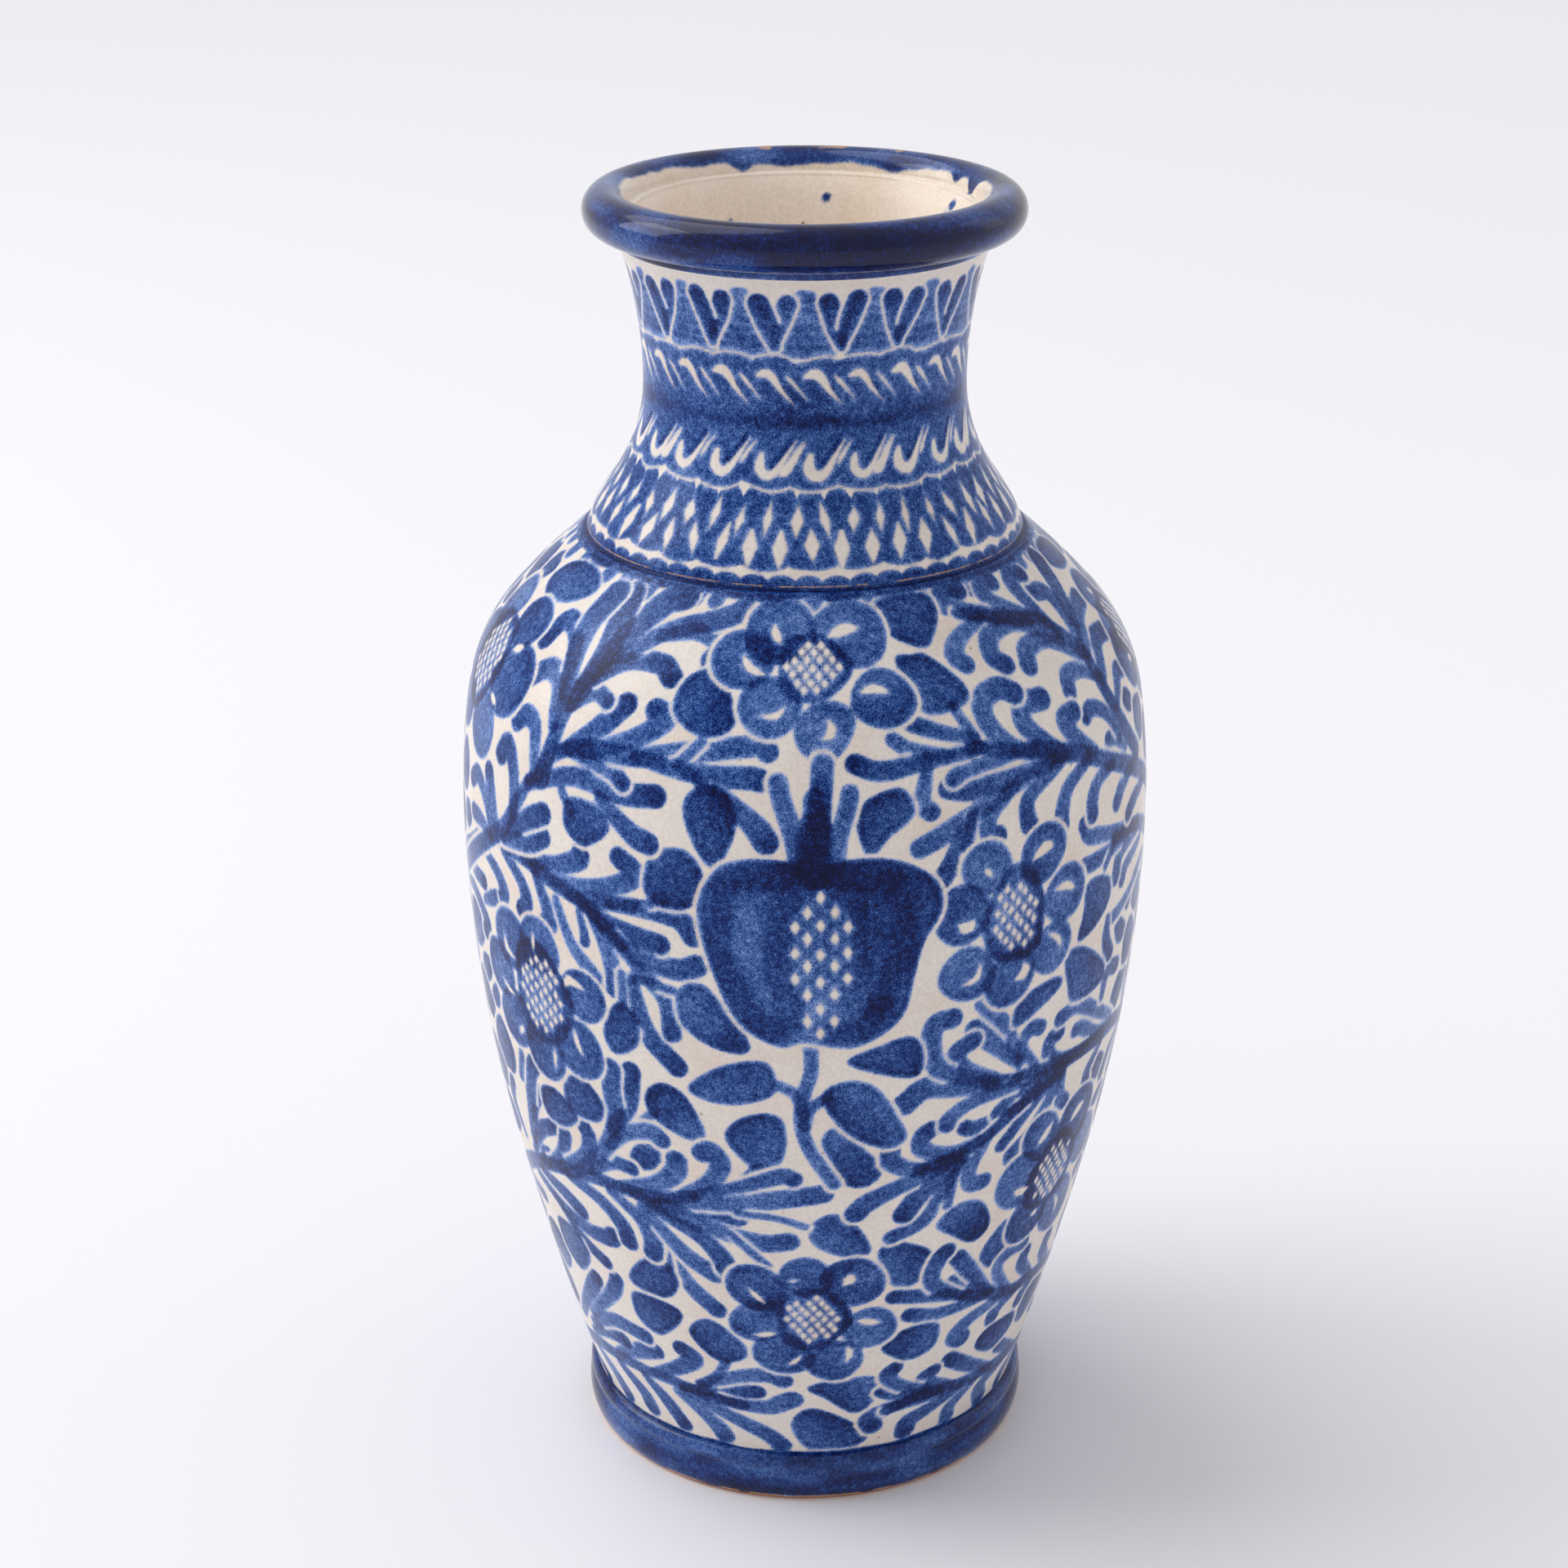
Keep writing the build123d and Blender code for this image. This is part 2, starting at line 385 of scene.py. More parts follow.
pomegranate = {
    "blobs": [[(-14, 216), (-16.5, 204), (-14, 185), (-10, 170), (-4, 163.5), (0, 165), (8, 163), (15, 171),
               (17, 184), (18.4, 194), (21.4, 204), (20, 213), (14, 219.5), (7, 220.5), (2, 218),
               (-4, 220.5), (-10, 220)]],
    "lines": [(2.3, (-0.6, 216), (-1.8, 228), (-3.6, 238), (-4.2, 243)),
              (2.7, (2, 216), (2.2, 232), (2.8, 248)), (2.1, (4.6, 216), (5.2, 227), (6.6, 236), (7, 240)),
              (4.4, (1.4, 217), (1.6, 230)), (3.2, (1.4, 216), (1.8, 238))],
    "washes": [(4.6, 0.42, (-12.5, 212), (-13.5, 195), (-9.5, 176), (-5, 168)),
               (4.2, 0.35, (14.5, 212), (15.5, 195), (11, 174)),
               (4.5, 0.5, (-9, 215), (2, 217), (13, 214)), (3.4, 0.45, (2, 222), (2.4, 242)),
               (4, 0.4, (4, 168), (9, 168), (12, 176)), (5, 0.35, (-3, 210), (-4, 190), (-2, 172)),
               (3, 0.3, (8, 212), (9, 190))],
    "windows": [(1.35, 2.2, [(2.4, y) for y in (210, 201.5, 192.5, 184, 175.5, 167.5)]
                 + [(x, y) for x in (0.4, 4.6) for y in (205.5, 197.5, 189, 180, 171.5)]
                 + [(x, y) for x in (-1.5, 6.6) for y in (201, 193, 185)])]}

pomegranateStem = {
    "lines": [(1.6, (0.8, 165), (1, 155), (-0.3, 146), (-0.6, 137), (1, 127), (5, 115)),
              (1.3, (-4, 150), (-1.5, 147), (-0.2, 140)), (1.3, (3.5, 146), (0.8, 142), (0, 136))],
    "blobs": [[(-19, 146), (-16, 152), (-11, 156.5), (-6, 157), (-5, 148), (-10, 143.5), (-15, 143)],
              [(3, 147), (7, 151), (11.5, 148), (15, 138), (17, 130), (14, 127), (9, 131), (5, 138)]]}

flowers = [
    flower(35, 196, 4.6, 11,
           [(29.5, 213, 8.5), (41, 213, 8.5), (45.5, 198, 8.5), (43, 181, 8.5), (34.5, 177, 9),
            (26, 182, 9), (25.5, 200, 8.5)],
           [(0.9, (29, 213), (30.3, 210.5)), (1.7, (38.5, 212), (41, 214.5), (42.5, 214)),
            (1.3, (43.5, 200), (46, 200), (48, 198)), (0.9, (42, 187), (44.5, 184), (45, 181)),
            (1.6, (35.5, 175.5), (37.5, 177), (37, 180)), (0.9, (25.5, 178), (28, 179.5), (28.5, 184)),
            (1.8, (24.5, 197.5), (26, 196), (27, 198))]),
    flower(1.5, 276, 5.2, 7.5,
           [(-5, 288, 10), (9, 286, 10.5), (-12, 278, 8.5), (14, 267, 8.5), (-6, 264, 9), (3, 257, 8.5)],
           [(1.2, (-6.5, 289), (-6, 286), (-5, 283.5)), (1.8, (5, 285.5), (8, 287.5), (11, 288)),
            (1.1, (-12, 279), (-10.5, 275.5), (-7.5, 273.5)), (1.3, (10, 268), (12.5, 269), (15, 267.5)),
            (0.9, (-7.5, 261.5), (-5, 261.5), (-3.5, 264)), (1.3, (3, 255), (4.5, 257), (4, 260.5))]),
    flower(-48.5, 163, 5.6, 12.5,
           [(-48, 180, 9), (-56.5, 176, 9), (-61, 163, 9), (-58, 149, 9.5), (-49, 143, 9), (-40.5, 150, 9),
            (-38, 168, 8.5)],
           [(0.7, (-49.5, 177), (-49.3, 183)), (1, (-58.5, 176), (-58, 172), (-55.5, 170)),
            (1.4, (-42, 170), (-41, 172.5), (-38, 171)), (0.8, (-61, 160), (-59, 157.5), (-57, 157)),
            (0.9, (-41, 156), (-40.5, 152), (-39.5, 148)), (1.1, (-57, 144), (-55.5, 147)),
            (0.7, (-47, 139), (-46.5, 146))]),
    flower(1.5, 61, 5.6, 9.5,
           [(0, 79, 8), (-9.5, 74, 8.5), (-9.5, 60, 8.5), (-5, 47, 9), (7, 43, 8.5), (13.5, 56, 8.5),
            (9.5, 76, 9)],
           [(0.9, (-11, 73), (-9.5, 70), (-8, 67.5)), (1, (-10.5, 53.5), (-8, 54), (-6, 55)),
            (0.8, (-3.5, 41.5), (-2, 43), (-1, 45)), (1.1, (9, 42), (9.7, 45.5), (9, 48.5)),
            (1.3, (11, 59.5), (13, 58.5), (15.5, 57.5)), (1.7, (7.5, 77), (9, 77.5), (7.5, 75)),
            (0.5, (-3, 77), (-1.5, 77.5))]),
    flower(53.5, 97, 6, 10,
           [(43, 101, 10), (47, 115, 8.5), (58.5, 113, 10), (65, 100, 9), (60, 79, 10.5), (49, 83, 9)],
           [(1.5, (42.5, 97), (44, 95.5), (46, 96)), (1.3, (46.5, 112), (48, 114), (49.5, 117.5)),
            (1.6, (56.5, 113), (58.5, 115.5), (60.5, 116.5)), (0.8, (58.5, 83), (60.5, 79), (60.5, 75)),
            (1, (50, 82), (51.5, 83))]),
    flower(-75, 255, 6, 11.5,
           [(-66, 271, 8.5), (-62.5, 254, 11), (-68, 237, 10), (-80, 272, 9), (-84, 255, 10), (-80, 238, 9)],
           [(1.4, (-66, 262), (-63, 264)), (1.1, (-67, 247), (-64, 245)), (0.9, (-69.5, 256), (-69, 258))]),
    flower(85.5, 258, 5, 10,
           [(78.5, 252, 9), (83, 272, 8.5), (85, 243, 8.5), (80, 262, 8)],
           [(1.2, (79, 251), (81, 250)), (1, (83, 274), (84.5, 272))])]

sprays = [
    {"trunks": [(2.2, (-47, 232), (-45, 246), (-43, 262)),
                (2.3, (-78, 186), (-68, 198), (-58, 210), (-54, 219), (-50, 230))],
     "strokes": [
        (2.6, (-50, 230), (-44, 241), (-38, 245), (-28, 246), (-18, 250), (-8, 253), (-6, 251.5)),
        (4, (-45, 256), (-49, 278), (-47.5, 291)), (4, (-43, 256), (-41, 275), (-43, 292)),
        (3, (-46, 258), (-50, 274), (-56, 278), (-58, 270)),
        (3, (-46, 248), (-48, 260), (-52, 263), (-55.5, 259)),
        (2.8, (-49, 233), (-50, 245), (-53, 248), (-55.5, 245)),
        (3, (-54, 217), (-54.5, 230), (-57, 237), (-59, 233)), (2.8, (-59, 207), (-61.5, 218), (-63, 225)),
        (2.6, (-61, 206), (-64, 216), (-68, 221), (-71, 218)), (2.4, (-62, 205), (-66, 208), (-70, 208)),
        (4, (-43, 262), (-38, 280), (-33, 292), (-29, 295)),
        (3, (-41, 266), (-30, 283), (-18, 290), (-12, 295)),
        (3, (-30, 282), (-22, 285), (-16, 281), (-18, 277)),
        (2.8, (-42, 262), (-35, 272), (-28, 273.5), (-25, 270)), (2, (-43, 255), (-39, 261), (-36, 259.5)),
        (3, (-43, 242), (-36, 252), (-32, 260)), (3, (-38, 244), (-28, 252), (-24, 258), (-26, 260)),
        (2.8, (-28, 246), (-18, 244), (-9, 244), (-7, 243.5)), (2.2, (-42, 243), (-33, 241), (-30, 238)),
        (3, (-50, 229), (-40, 236), (-30, 235), (-24, 236)), (3, (-34, 232), (-28, 224), (-25, 222)),
        (3.2, (-14, 240), (-8, 231), (-6, 226)), (3, (-57, 209), (-50, 218), (-46, 222)),
        (3, (-57, 208), (-50, 211), (-46, 215))],
     "lines": [(1.1, (-20, 247), (-17, 253)), (1.1, (-21, 246), (-14, 239)), (1.2, (-42, 231), (-40, 226))],
     "blobs": [[(-23, 262), (-21.5, 271), (-17, 273.5), (-13.5, 267), (-12, 259), (-15, 255),
                (-19.5, 256)], oval(-37, 224, 9, 13),
               [(-19, 235), (-16, 241), (-12, 238), (-11, 229), (-14, 218), (-17.5, 225)]]},
    {"trunks": [(2.4, (-90, 170), (-80, 188), (-72, 196), (-62, 206), (-52, 206), (-43, 202), (-36, 198),
                 (-30, 189))],
     "strokes": [
        (2.8, (-51, 206), (-43, 208), (-38, 212), (-37.5, 214)),
        (2.8, (-44, 203), (-35, 205), (-29, 209), (-27.5, 213), (-30, 216)),
        (2.8, (-40, 200), (-28, 202), (-20, 201), (-17.5, 196)), (2.8, (-38, 199), (-30, 194), (-23, 192)),
        (3, (-35, 196), (-27, 187), (-20, 185), (-17, 187)),
        (2.6, (-31, 190), (-25, 180), (-22, 174), (-21.5, 164)),
        (2.6, (-36, 198), (-33, 188), (-31.5, 180), (-31.5, 174.5)),
        (2.2, (-43, 197), (-40, 185), (-36, 178), (-34.5, 175)), (1.4, (-38, 196), (-37, 189), (-37, 187)),
        (2.6, (-48, 203), (-46, 196), (-44.5, 189), (-46, 187.5)),
        (2.6, (-57, 204), (-52, 198), (-50.5, 192), (-52, 188.5)),
        (2.6, (-66, 200), (-60, 196), (-57.5, 191), (-58, 188.5)), (2.4, (-74, 188), (-66, 188)),
        (2.2, (-66, 182), (-60, 187)), (3, (-28, 178), (-26, 163), (-21, 153)),
        (2.6, (-80, 180), (-72, 181), (-66, 175), (-67, 171))],
     "lines": [(1, (-32, 201), (-26, 203), (-22, 207)), (1, (-28, 180), (-21, 178)),
               (1, (-30, 180), (-30, 170))],
     "blobs": [[(-25.5, 210), (-24, 219), (-19, 221.5), (-16, 215), (-17, 207), (-20, 204), (-24, 205)],
               [(-20, 178), (-16, 181), (-12, 172), (-9, 164), (-10, 160.5), (-15, 162), (-19.5, 168)],
               [(-33.5, 163), (-31, 170), (-28, 167), (-28, 158), (-32, 153), (-34, 157)]]},
    {"trunks": [(2.3, (90, 196), (80, 212), (70, 222), (60, 230), (50, 238), (42, 243), (36, 245), (28, 249)),
                (2.2, (72, 226), (66, 238), (62, 252), (61, 265), (55, 278), (45, 283), (35, 288))],
     "strokes": [
        (2.4, (30, 248), (20, 247), (12, 245.5), (8, 248)), (1.7, (24, 248), (17, 251), (14.5, 254)),
        (2, (29, 251), (22, 255), (18, 258)),
        (3, (44, 240), (36, 246), (32, 254), (32, 261), (36, 263.5), (39, 261)),
        (3, (48, 238), (42, 246), (39, 252), (40, 257), (44.5, 257)),
        (2.8, (55, 236), (50, 243), (48, 249), (51, 250)),
        (2.2, (64, 235), (60, 245), (56, 248.5), (54, 247)), (2, (66, 231), (62, 236), (59.5, 237)),
        (2.6, (62, 255), (57, 260), (53, 260), (52, 256)),
        (2.8, (60, 263), (53, 272), (47, 272), (45, 267)),
        (2.8, (57, 270), (48, 280), (40, 279), (38, 273), (40, 269.5)),
        (2.8, (52, 279), (45, 284), (36, 289), (32.5, 292), (35, 296), (38, 295)),
        (2.6, (40, 285), (33, 281), (30, 276), (31.5, 272.5)),
        (2.8, (56, 278), (50, 284), (45, 290), (46, 295), (49, 294.5)),
        (2.8, (58, 272), (56, 282), (55, 290), (57, 294), (60.5, 293)),
        (2.8, (61, 262), (64, 275), (64, 284), (60, 286)), (3, (62, 262), (68, 273), (75, 276)),
        (3.5, (65, 272), (70, 285), (73, 293)), (2.8, (63, 253), (68, 264), (74, 264)),
        (2.4, (65, 244), (69, 252), (72, 252)), (2, (36, 244), (27, 243), (24, 241)),
        (2.6, (46, 239), (36, 238), (27, 237), (23, 238.5)),
        (2.2, (20, 247), (19, 240), (18.5, 235), (20, 232.5)),
        (2.6, (44, 239), (33, 234), (26, 229), (20, 224), (18, 222.5)),
        (2.6, (35, 235), (30, 228), (30, 223), (31.5, 222)),
        (2.6, (46, 238), (38, 231), (37.5, 224), (38, 222)),
        (2.6, (53, 235), (47, 230), (45, 223), (45, 219)), (2.6, (60, 229), (55, 227), (53, 222), (53, 218)),
        (2.4, (70, 224), (64, 221), (61, 216.5)), (2.6, (27, 230), (24.5, 222), (23, 216), (21, 211)),
        (2.4, (76, 214), (70, 213), (66, 210))],
     "lines": [(1.3, (27, 229), (26, 220), (26.5, 212)), (1.1, (29, 251), (26, 261))],
     "blobs": [[(15, 240), (17, 233), (13, 227), (10, 222), (8.3, 230), (9.5, 237)],
               [(18, 277), (21, 277.5), (24, 277), (29, 268), (29, 262), (22, 260), (19, 266)],
               [(15, 293), (20, 297), (29, 296), (30, 290), (27, 283), (24, 280), (18, 285)]]},
    {"trunks": [(2.2, (90, 184), (80, 196), (70, 204), (60, 206))],
     "strokes": [(2.4, (72, 204), (58, 209), (52, 212), (50.5, 216)),
                 (2.4, (68, 205), (57, 203), (50, 203)), (2.6, (72, 202), (63, 200), (61, 193)),
                 (2.2, (74, 197), (66, 194), (64, 190)), (2.4, (59, 181), (59, 174), (61, 168)),
                 (2, (72, 186), (64, 181), (61, 180)), (2.5, (60, 154), (61, 162), (65, 161)),
                 (2.2, (78, 190), (70, 185), (68, 180))],
     "lines": [(1, (60, 205), (57, 199))],
     "blobs": [[(52, 197), (58, 195), (59, 188), (55, 182), (50, 180), (51, 188)],
               [(47, 177), (52, 176), (59, 166), (58, 160), (50, 160), (48, 167)]]},
    {"trunks": [(2.4, (-90, 62), (-80, 76), (-70, 87), (-60, 95), (-50, 100), (-40, 103), (-30, 103),
                 (-20, 107))],
     "strokes": [
        (2.8, (-52, 99), (-43, 110), (-41, 118), (-42, 122)), (2.4, (-56, 97), (-50, 106), (-47.5, 115)),
        (1.8, (-60, 95), (-57, 101), (-55, 102)), (2.4, (-62, 98), (-56, 110), (-51, 115)),
        (3, (-61, 103), (-58, 118), (-56, 130), (-54, 135)), (2, (-58, 112), (-56, 120), (-53, 126)),
        (3, (-46, 102), (-38, 115), (-34, 128), (-34, 140), (-33.5, 147)),
        (2.8, (-35, 125), (-31, 135), (-29.5, 148)), (2.6, (-36, 118), (-32, 125), (-27, 128), (-25, 126)),
        (2.2, (-42, 105), (-36, 112), (-32, 112)), (3, (-36, 103), (-27, 109), (-23, 115), (-22.5, 119.5)),
        (3, (-22, 107), (-17, 113), (-14.5, 120), (-16, 125), (-17.5, 124)),
        (2.4, (-19, 108), (-10, 114), (-4, 118), (-2, 117)),
        (3, (-27, 103), (-14, 106), (-5, 109), (3, 111.5)), (2.6, (-28, 101), (-20, 102), (-12, 101)),
        (3, (-32, 102), (-18, 96), (-8, 92), (-3, 93)), (3, (-29, 99), (-20, 92), (-16, 85), (-15, 80)),
        (3, (-31, 98), (-23, 83), (-17.5, 77)), (3, (-38, 100), (-32, 93), (-30, 85), (-30.5, 80)),
        (3, (-50, 98), (-42, 95), (-37, 88), (-36, 81.5)), (3, (-61, 91), (-53, 88.5), (-48.5, 85)),
        (3, (-64, 87), (-50, 79), (-42, 79), (-40, 81)), (2.4, (-58, 83), (-50, 72), (-44.5, 67.5)),
        (2.4, (-76, 80), (-66, 77)), (2, (-66, 100), (-68, 112), (-66, 120))],
     "lines": [(0.8, (-12, 103), (-5, 102), (0, 99)), (1, (-14, 95), (-10, 88), (-7, 83)),
               (1.2, (-58, 136), (-60, 126))],
     "blobs": [oval(-56, 66, 11, 18), oval(-41, 132, 9, 15), oval(-48.5, 124, 9.5, 12.5)]},
    {"trunks": [(2.4, (-90, 8), (-80, 14), (-70, 18), (-60, 22), (-45, 24), (-30, 24), (-15, 21))],
     "strokes": [
        (2.8, (-66, 30), (-55, 48), (-50, 57)), (2.6, (-58, 36), (-48, 50), (-44, 57), (-42.5, 62)),
        (2.8, (-60, 31), (-48, 41), (-38, 41)), (2.4, (-62, 26), (-53, 32), (-46, 34)),
        (3, (-50, 26), (-42, 32), (-36, 36)), (3, (-38, 25), (-30, 32), (-25.5, 38), (-28, 41)),
        (2.8, (-25, 27), (-15, 34), (-8, 36), (-5, 34)), (2.4, (-30, 23), (-20, 26), (-11, 28)),
        (3.2, (-25, 22), (-10, 21), (-5, 24), (-3, 25.5)), (2.8, (-30, 22), (-20, 16), (-10, 9), (-6, 4)),
        (3, (-32, 20), (-26, 14), (-22, 8), (-21, 5)), (2.8, (-42, 21), (-37, 14), (-33, 5)),
        (3, (-52, 20), (-45, 12), (-43.5, 6)), (3, (-64, 18), (-58, 12), (-54, 5)),
        (2.6, (-78, 14), (-70, 9), (-66, 4))],
     "lines": [(1.2, (-25, 27), (-20, 33), (-17.5, 40))],
     "blobs": [[(-39, 55), (-37, 60), (-28, 59), (-27, 54), (-33, 45), (-38, 48)],
               [(-25, 50), (-20, 57), (-13, 48), (-14, 42), (-20, 40.5)]]},
    {"trunks": [(2.3, (90, 112), (82, 128), (74, 137), (60, 139), (48, 138), (38, 129), (30, 121),
                 (20, 117)), (2, (62, 139), (48, 140), (38, 142))],
     "strokes": [
        (2.8, (33, 142), (27, 147), (22, 152), (20.5, 160), (21, 167), (24, 168)),
        (2.6, (34, 143), (27, 150), (25, 156), (28, 159)), (2.6, (38, 146), (32, 156), (28, 163)),
        (2.6, (38, 148), (36, 154), (33, 163), (29.5, 171)),
        (2.2, (42, 143), (38, 152), (40, 157), (42, 156)), (2.4, (66, 143), (60, 149), (52, 157), (47, 156)),
        (2.4, (58, 140), (49, 141), (45, 145), (45, 150), (47, 151)),
        (2.2, (70, 140), (60, 142), (54, 148), (52, 148.5)),
        (3.4, (38, 141), (26, 144), (20, 146), (16.5, 141.5)),
        (2.4, (44, 139), (30, 138), (25, 134), (24.5, 131.5)), (2.2, (48, 138), (38, 135), (34.5, 131)),
        (2.2, (50, 136), (38, 130), (30, 128), (28, 129)),
        (2.6, (34, 124), (26, 121), (20.5, 124), (20, 129), (21.5, 131)),
        (2.6, (28, 119), (20, 117), (15, 121), (14.5, 125)), (3, (27, 118), (17, 112), (11, 107), (9, 103.5)),
        (3.2, (28, 117), (21, 108), (18, 101)), (2.2, (29, 117), (25, 107), (22, 97), (16, 92.5)),
        (2.6, (33, 122), (30, 112), (31, 107), (33.5, 106.5)), (2, (48, 135), (42, 128), (36.5, 118)),
        (3.2, (49, 134), (45, 122), (43, 117), (39.5, 112.5)), (2.4, (50, 135), (50, 127), (52, 123.5)),
        (2.2, (63, 136), (59, 129), (59.5, 123.5)), (2.4, (76, 134), (70, 128), (68, 121)),
        (2.4, (76, 138), (74, 148), (76, 155))],
     "lines": [(1.2, (27, 113), (26.5, 101))],
     "blobs": [[(7, 158), (12, 162), (17, 164), (19, 158), (18, 151), (11, 154)],
               [(36, 160), (37, 168), (44, 171), (46, 168), (40, 162)],
               [(25, 94), (29, 100), (34, 98), (37, 88), (34, 83), (29, 88)]]},
    {"trunks": [(2.3, (90, 38), (82, 44), (72, 48), (60, 51), (50, 52), (42, 56), (35, 60))],
     "strokes": [
        (2.8, (34, 60), (26, 70), (26.5, 79), (28, 82)), (2.4, (36, 60), (25, 65), (18, 67.5)),
        (2.6, (42, 57), (35, 70), (31, 78)), (2.6, (43, 57), (34, 64), (31, 68)),
        (2.4, (42, 56), (28, 56), (22, 58.5)), (2.4, (49, 53), (44, 62), (43, 68), (46, 71), (50, 71)),
        (2.6, (58, 52), (52, 61), (52, 66)), (3, (68, 50), (62, 58), (62, 64)),
        (3.2, (47, 52), (38, 48), (35, 43), (37, 40.5)), (2.8, (54, 51), (47, 47), (46, 43.5)),
        (2.4, (62, 50), (57, 46), (56, 43)), (2.6, (78, 48), (72, 60), (73, 68))],
     "blobs": [oval(24, 46, 13, 14), oval(50, 34, 14, 12)]},
    {"trunks": [(2.4, (90, 8), (80, 13), (72, 15), (60, 17), (45, 18), (30, 20), (20, 17))],
     "strokes": [
        (2.4, (34, 20), (23, 27), (19, 33), (20.5, 36)), (1.8, (30, 21), (22, 23), (18, 26)),
        (2.4, (38, 20), (31, 25), (28.5, 28), (31, 30)), (2.6, (52, 18), (42, 26), (35, 33)),
        (2.4, (64, 18), (56, 24), (53.5, 26)), (3, (35, 18), (22, 18), (16, 14.5), (17, 10.5)),
        (3.2, (42, 17), (32, 12), (27, 9), (26.5, 5)), (2.6, (47, 16), (40, 9), (40, 3.5)),
        (3, (60, 15), (51, 11), (53, 3.5)), (2.6, (74, 13), (64, 8), (63, 4)),
        (2.6, (82, 14), (76, 24), (70, 30))]}]

looseLeaves = [
    {"blobs": [[(-74, 286), (-70, 293), (-60, 295), (-54, 290), (-58, 284), (-64, 281), (-71, 281)]]},
    {"blobs": [[(-13, 130), (-11, 137), (-6, 140), (-3.5, 136), (-4, 124), (-8, 120)]],
     "lines": [(1.1, (-8, 121), (-12, 113))]},
    {"blobs": [[(-27, 141), (-24, 146), (-20, 143), (-17, 131), (-20, 128.5), (-26, 134)]],
     "lines": [(1.1, (-26, 135), (-32, 125))]},
    {"blobs": [[(3, 131), (5, 135), (8, 130), (13, 120), (11, 114), (7, 115), (4.5, 124)]]},
    {"blobs": [[(1, 98), (4, 103), (8, 101), (12, 89), (9, 86), (2.5, 91)]]},
    {"blobs": [[(-38, 66), (-33, 76), (-28, 77), (-26, 70), (-29, 63), (-35, 62.5)]],
     "lines": [(0.9, (-27, 76), (-27.5, 86))]},
    {"strokes": [(2.8, (-26, 80), (-23, 70), (-18, 62))]},
    {"blobs": [[(1, 31), (8, 34), (16, 33), (16.5, 24), (12, 18.5), (5, 26)]]},
    {"blobs": [[(-3, 14), (1, 21), (8, 17), (15.5, 8), (13.5, 3), (5, 2.5), (0, 4)]]},
    {"blobs": [[(38, 80), (42, 86), (45, 78), (44, 70), (40, 69), (37, 74)]]},
    {"blobs": [[(14, 87), (17, 90), (24, 84), (24, 75), (20, 71), (16, 76)]]},
    {"blobs": [[(76, 290), (80, 295), (88, 294), (92, 289), (88, 284), (80, 285)]]}]


def moved(motif, change):  # the same motif with every point changed
    def walk(value):
        if isinstance(value, tuple) and len(value) == 2 and all(np.isscalar(v) for v in value):
            return change(*value)
        if isinstance(value, (list, tuple)):
            return type(value)(walk(v) for v in value)
        return value
    out = {kind: walk(marks) for kind, marks in motif.items()}
    if "discs" in out:
        out["discs"] = [(*change(x, y), r) for x, y, r in motif["discs"]]
    return out


bodyPaint = {"cell": 0.5, "leafGap": 1.2, "sparseFront": 5.4, "sparseBack": 4.6, "frontHalf": 66,
             "dabPitch": 7.0, "dabFrom": 2.6, "dabTo": 5.0, "slipTurn": 0.8, "slipUp": 1.2, "topBand": 2.2,
             "footBand": 1.3, "gapLeaves": 260}
body = newSheet(bodyLine, bodyPaint["cell"])
foreground = [pomegranate, *flowers, pomegranateStem, *sprays, *looseLeaves]
for motif in foreground:
    layMotif(body, motif)
for motif in foreground:  # the far half: the same motifs mirrored, none quite in place
    slip = rng.uniform(-1, 1, 2) * (bodyPaint["slipTurn"], bodyPaint["slipUp"])
    layMotif(body, moved(motif, lambda x, y: (180 - x + slip[0], y + slip[1])))
print("body motifs painted")

topEdge = body["along"][-1]
for turn in np.arange(-180, 180, bodyPaint["dabPitch"]):
    at = turn + rng.uniform(-1.2, 1.2)
    fat = rng.uniform(1.7, 2.5)
    low = topEdge - rng.uniform(bodyPaint["dabFrom"], bodyPaint["dabTo"])
    layMotif(body, {"lines": [(fat, (at, topEdge + 1), (at - 1, low))]}, 0.5)


def cloudy(sheet, cells, seed):  # smooth noise from -0.5 to 0.5 over a whole sheet
    return softNoise(sheet["paint"].shape, cells, seed) - 0.5


def edgeBand(sheet, depth, tone):  # paint that follows an edge all the way round
    sheet["tone"] = np.where(depth > sheet["paint"], np.maximum(sheet["tone"], tone), sheet["tone"])
    sheet["paint"] = np.maximum(sheet["paint"], depth)


wander = cloudy(body, (1, 46), 11)
edgeBand(body, body["along"][:, None] - (topEdge - bodyPaint["topBand"]) + 1.6 * wander, 0.72)
edgeBand(body, bodyPaint["footBand"] + 1.2 * wander - body["along"][:, None], 0.75)


def fillGaps(sheet, rounds):  # small leaves wherever the ground is still bare
    turn, along = np.meshgrid(sheet["turn"], sheet["along"])
    need = np.where(np.abs(turn) < bodyPaint["frontHalf"], bodyPaint["sparseFront"], bodyPaint["sparseBack"])
    inside = (along > 7) & (along < topEdge - 8)
    for k in range(rounds):
        room = np.where(inside, -sheet["paint"] - need, -99)
        j, i = np.unravel_index(np.argmax(room), room.shape)
        if room[j, i] < 0:
            break
        free = min(-sheet["paint"][j, i] - bodyPaint["leafGap"], 8.0)
        wide = free * rng.uniform(1.8, 2.3) / (sheet["line"][j, 0] * math.pi / 180)
        leaf = oval(turn[j, i], along[j, i], wide, free * rng.uniform(1.9, 2.5), rng.uniform(-1.5, 1.5))
        layMotif(sheet, {"blobs": [leaf]}, bodyPaint["leafGap"])
    print("gap leaves:", k)


fillGaps(body, bodyPaint["gapLeaves"])


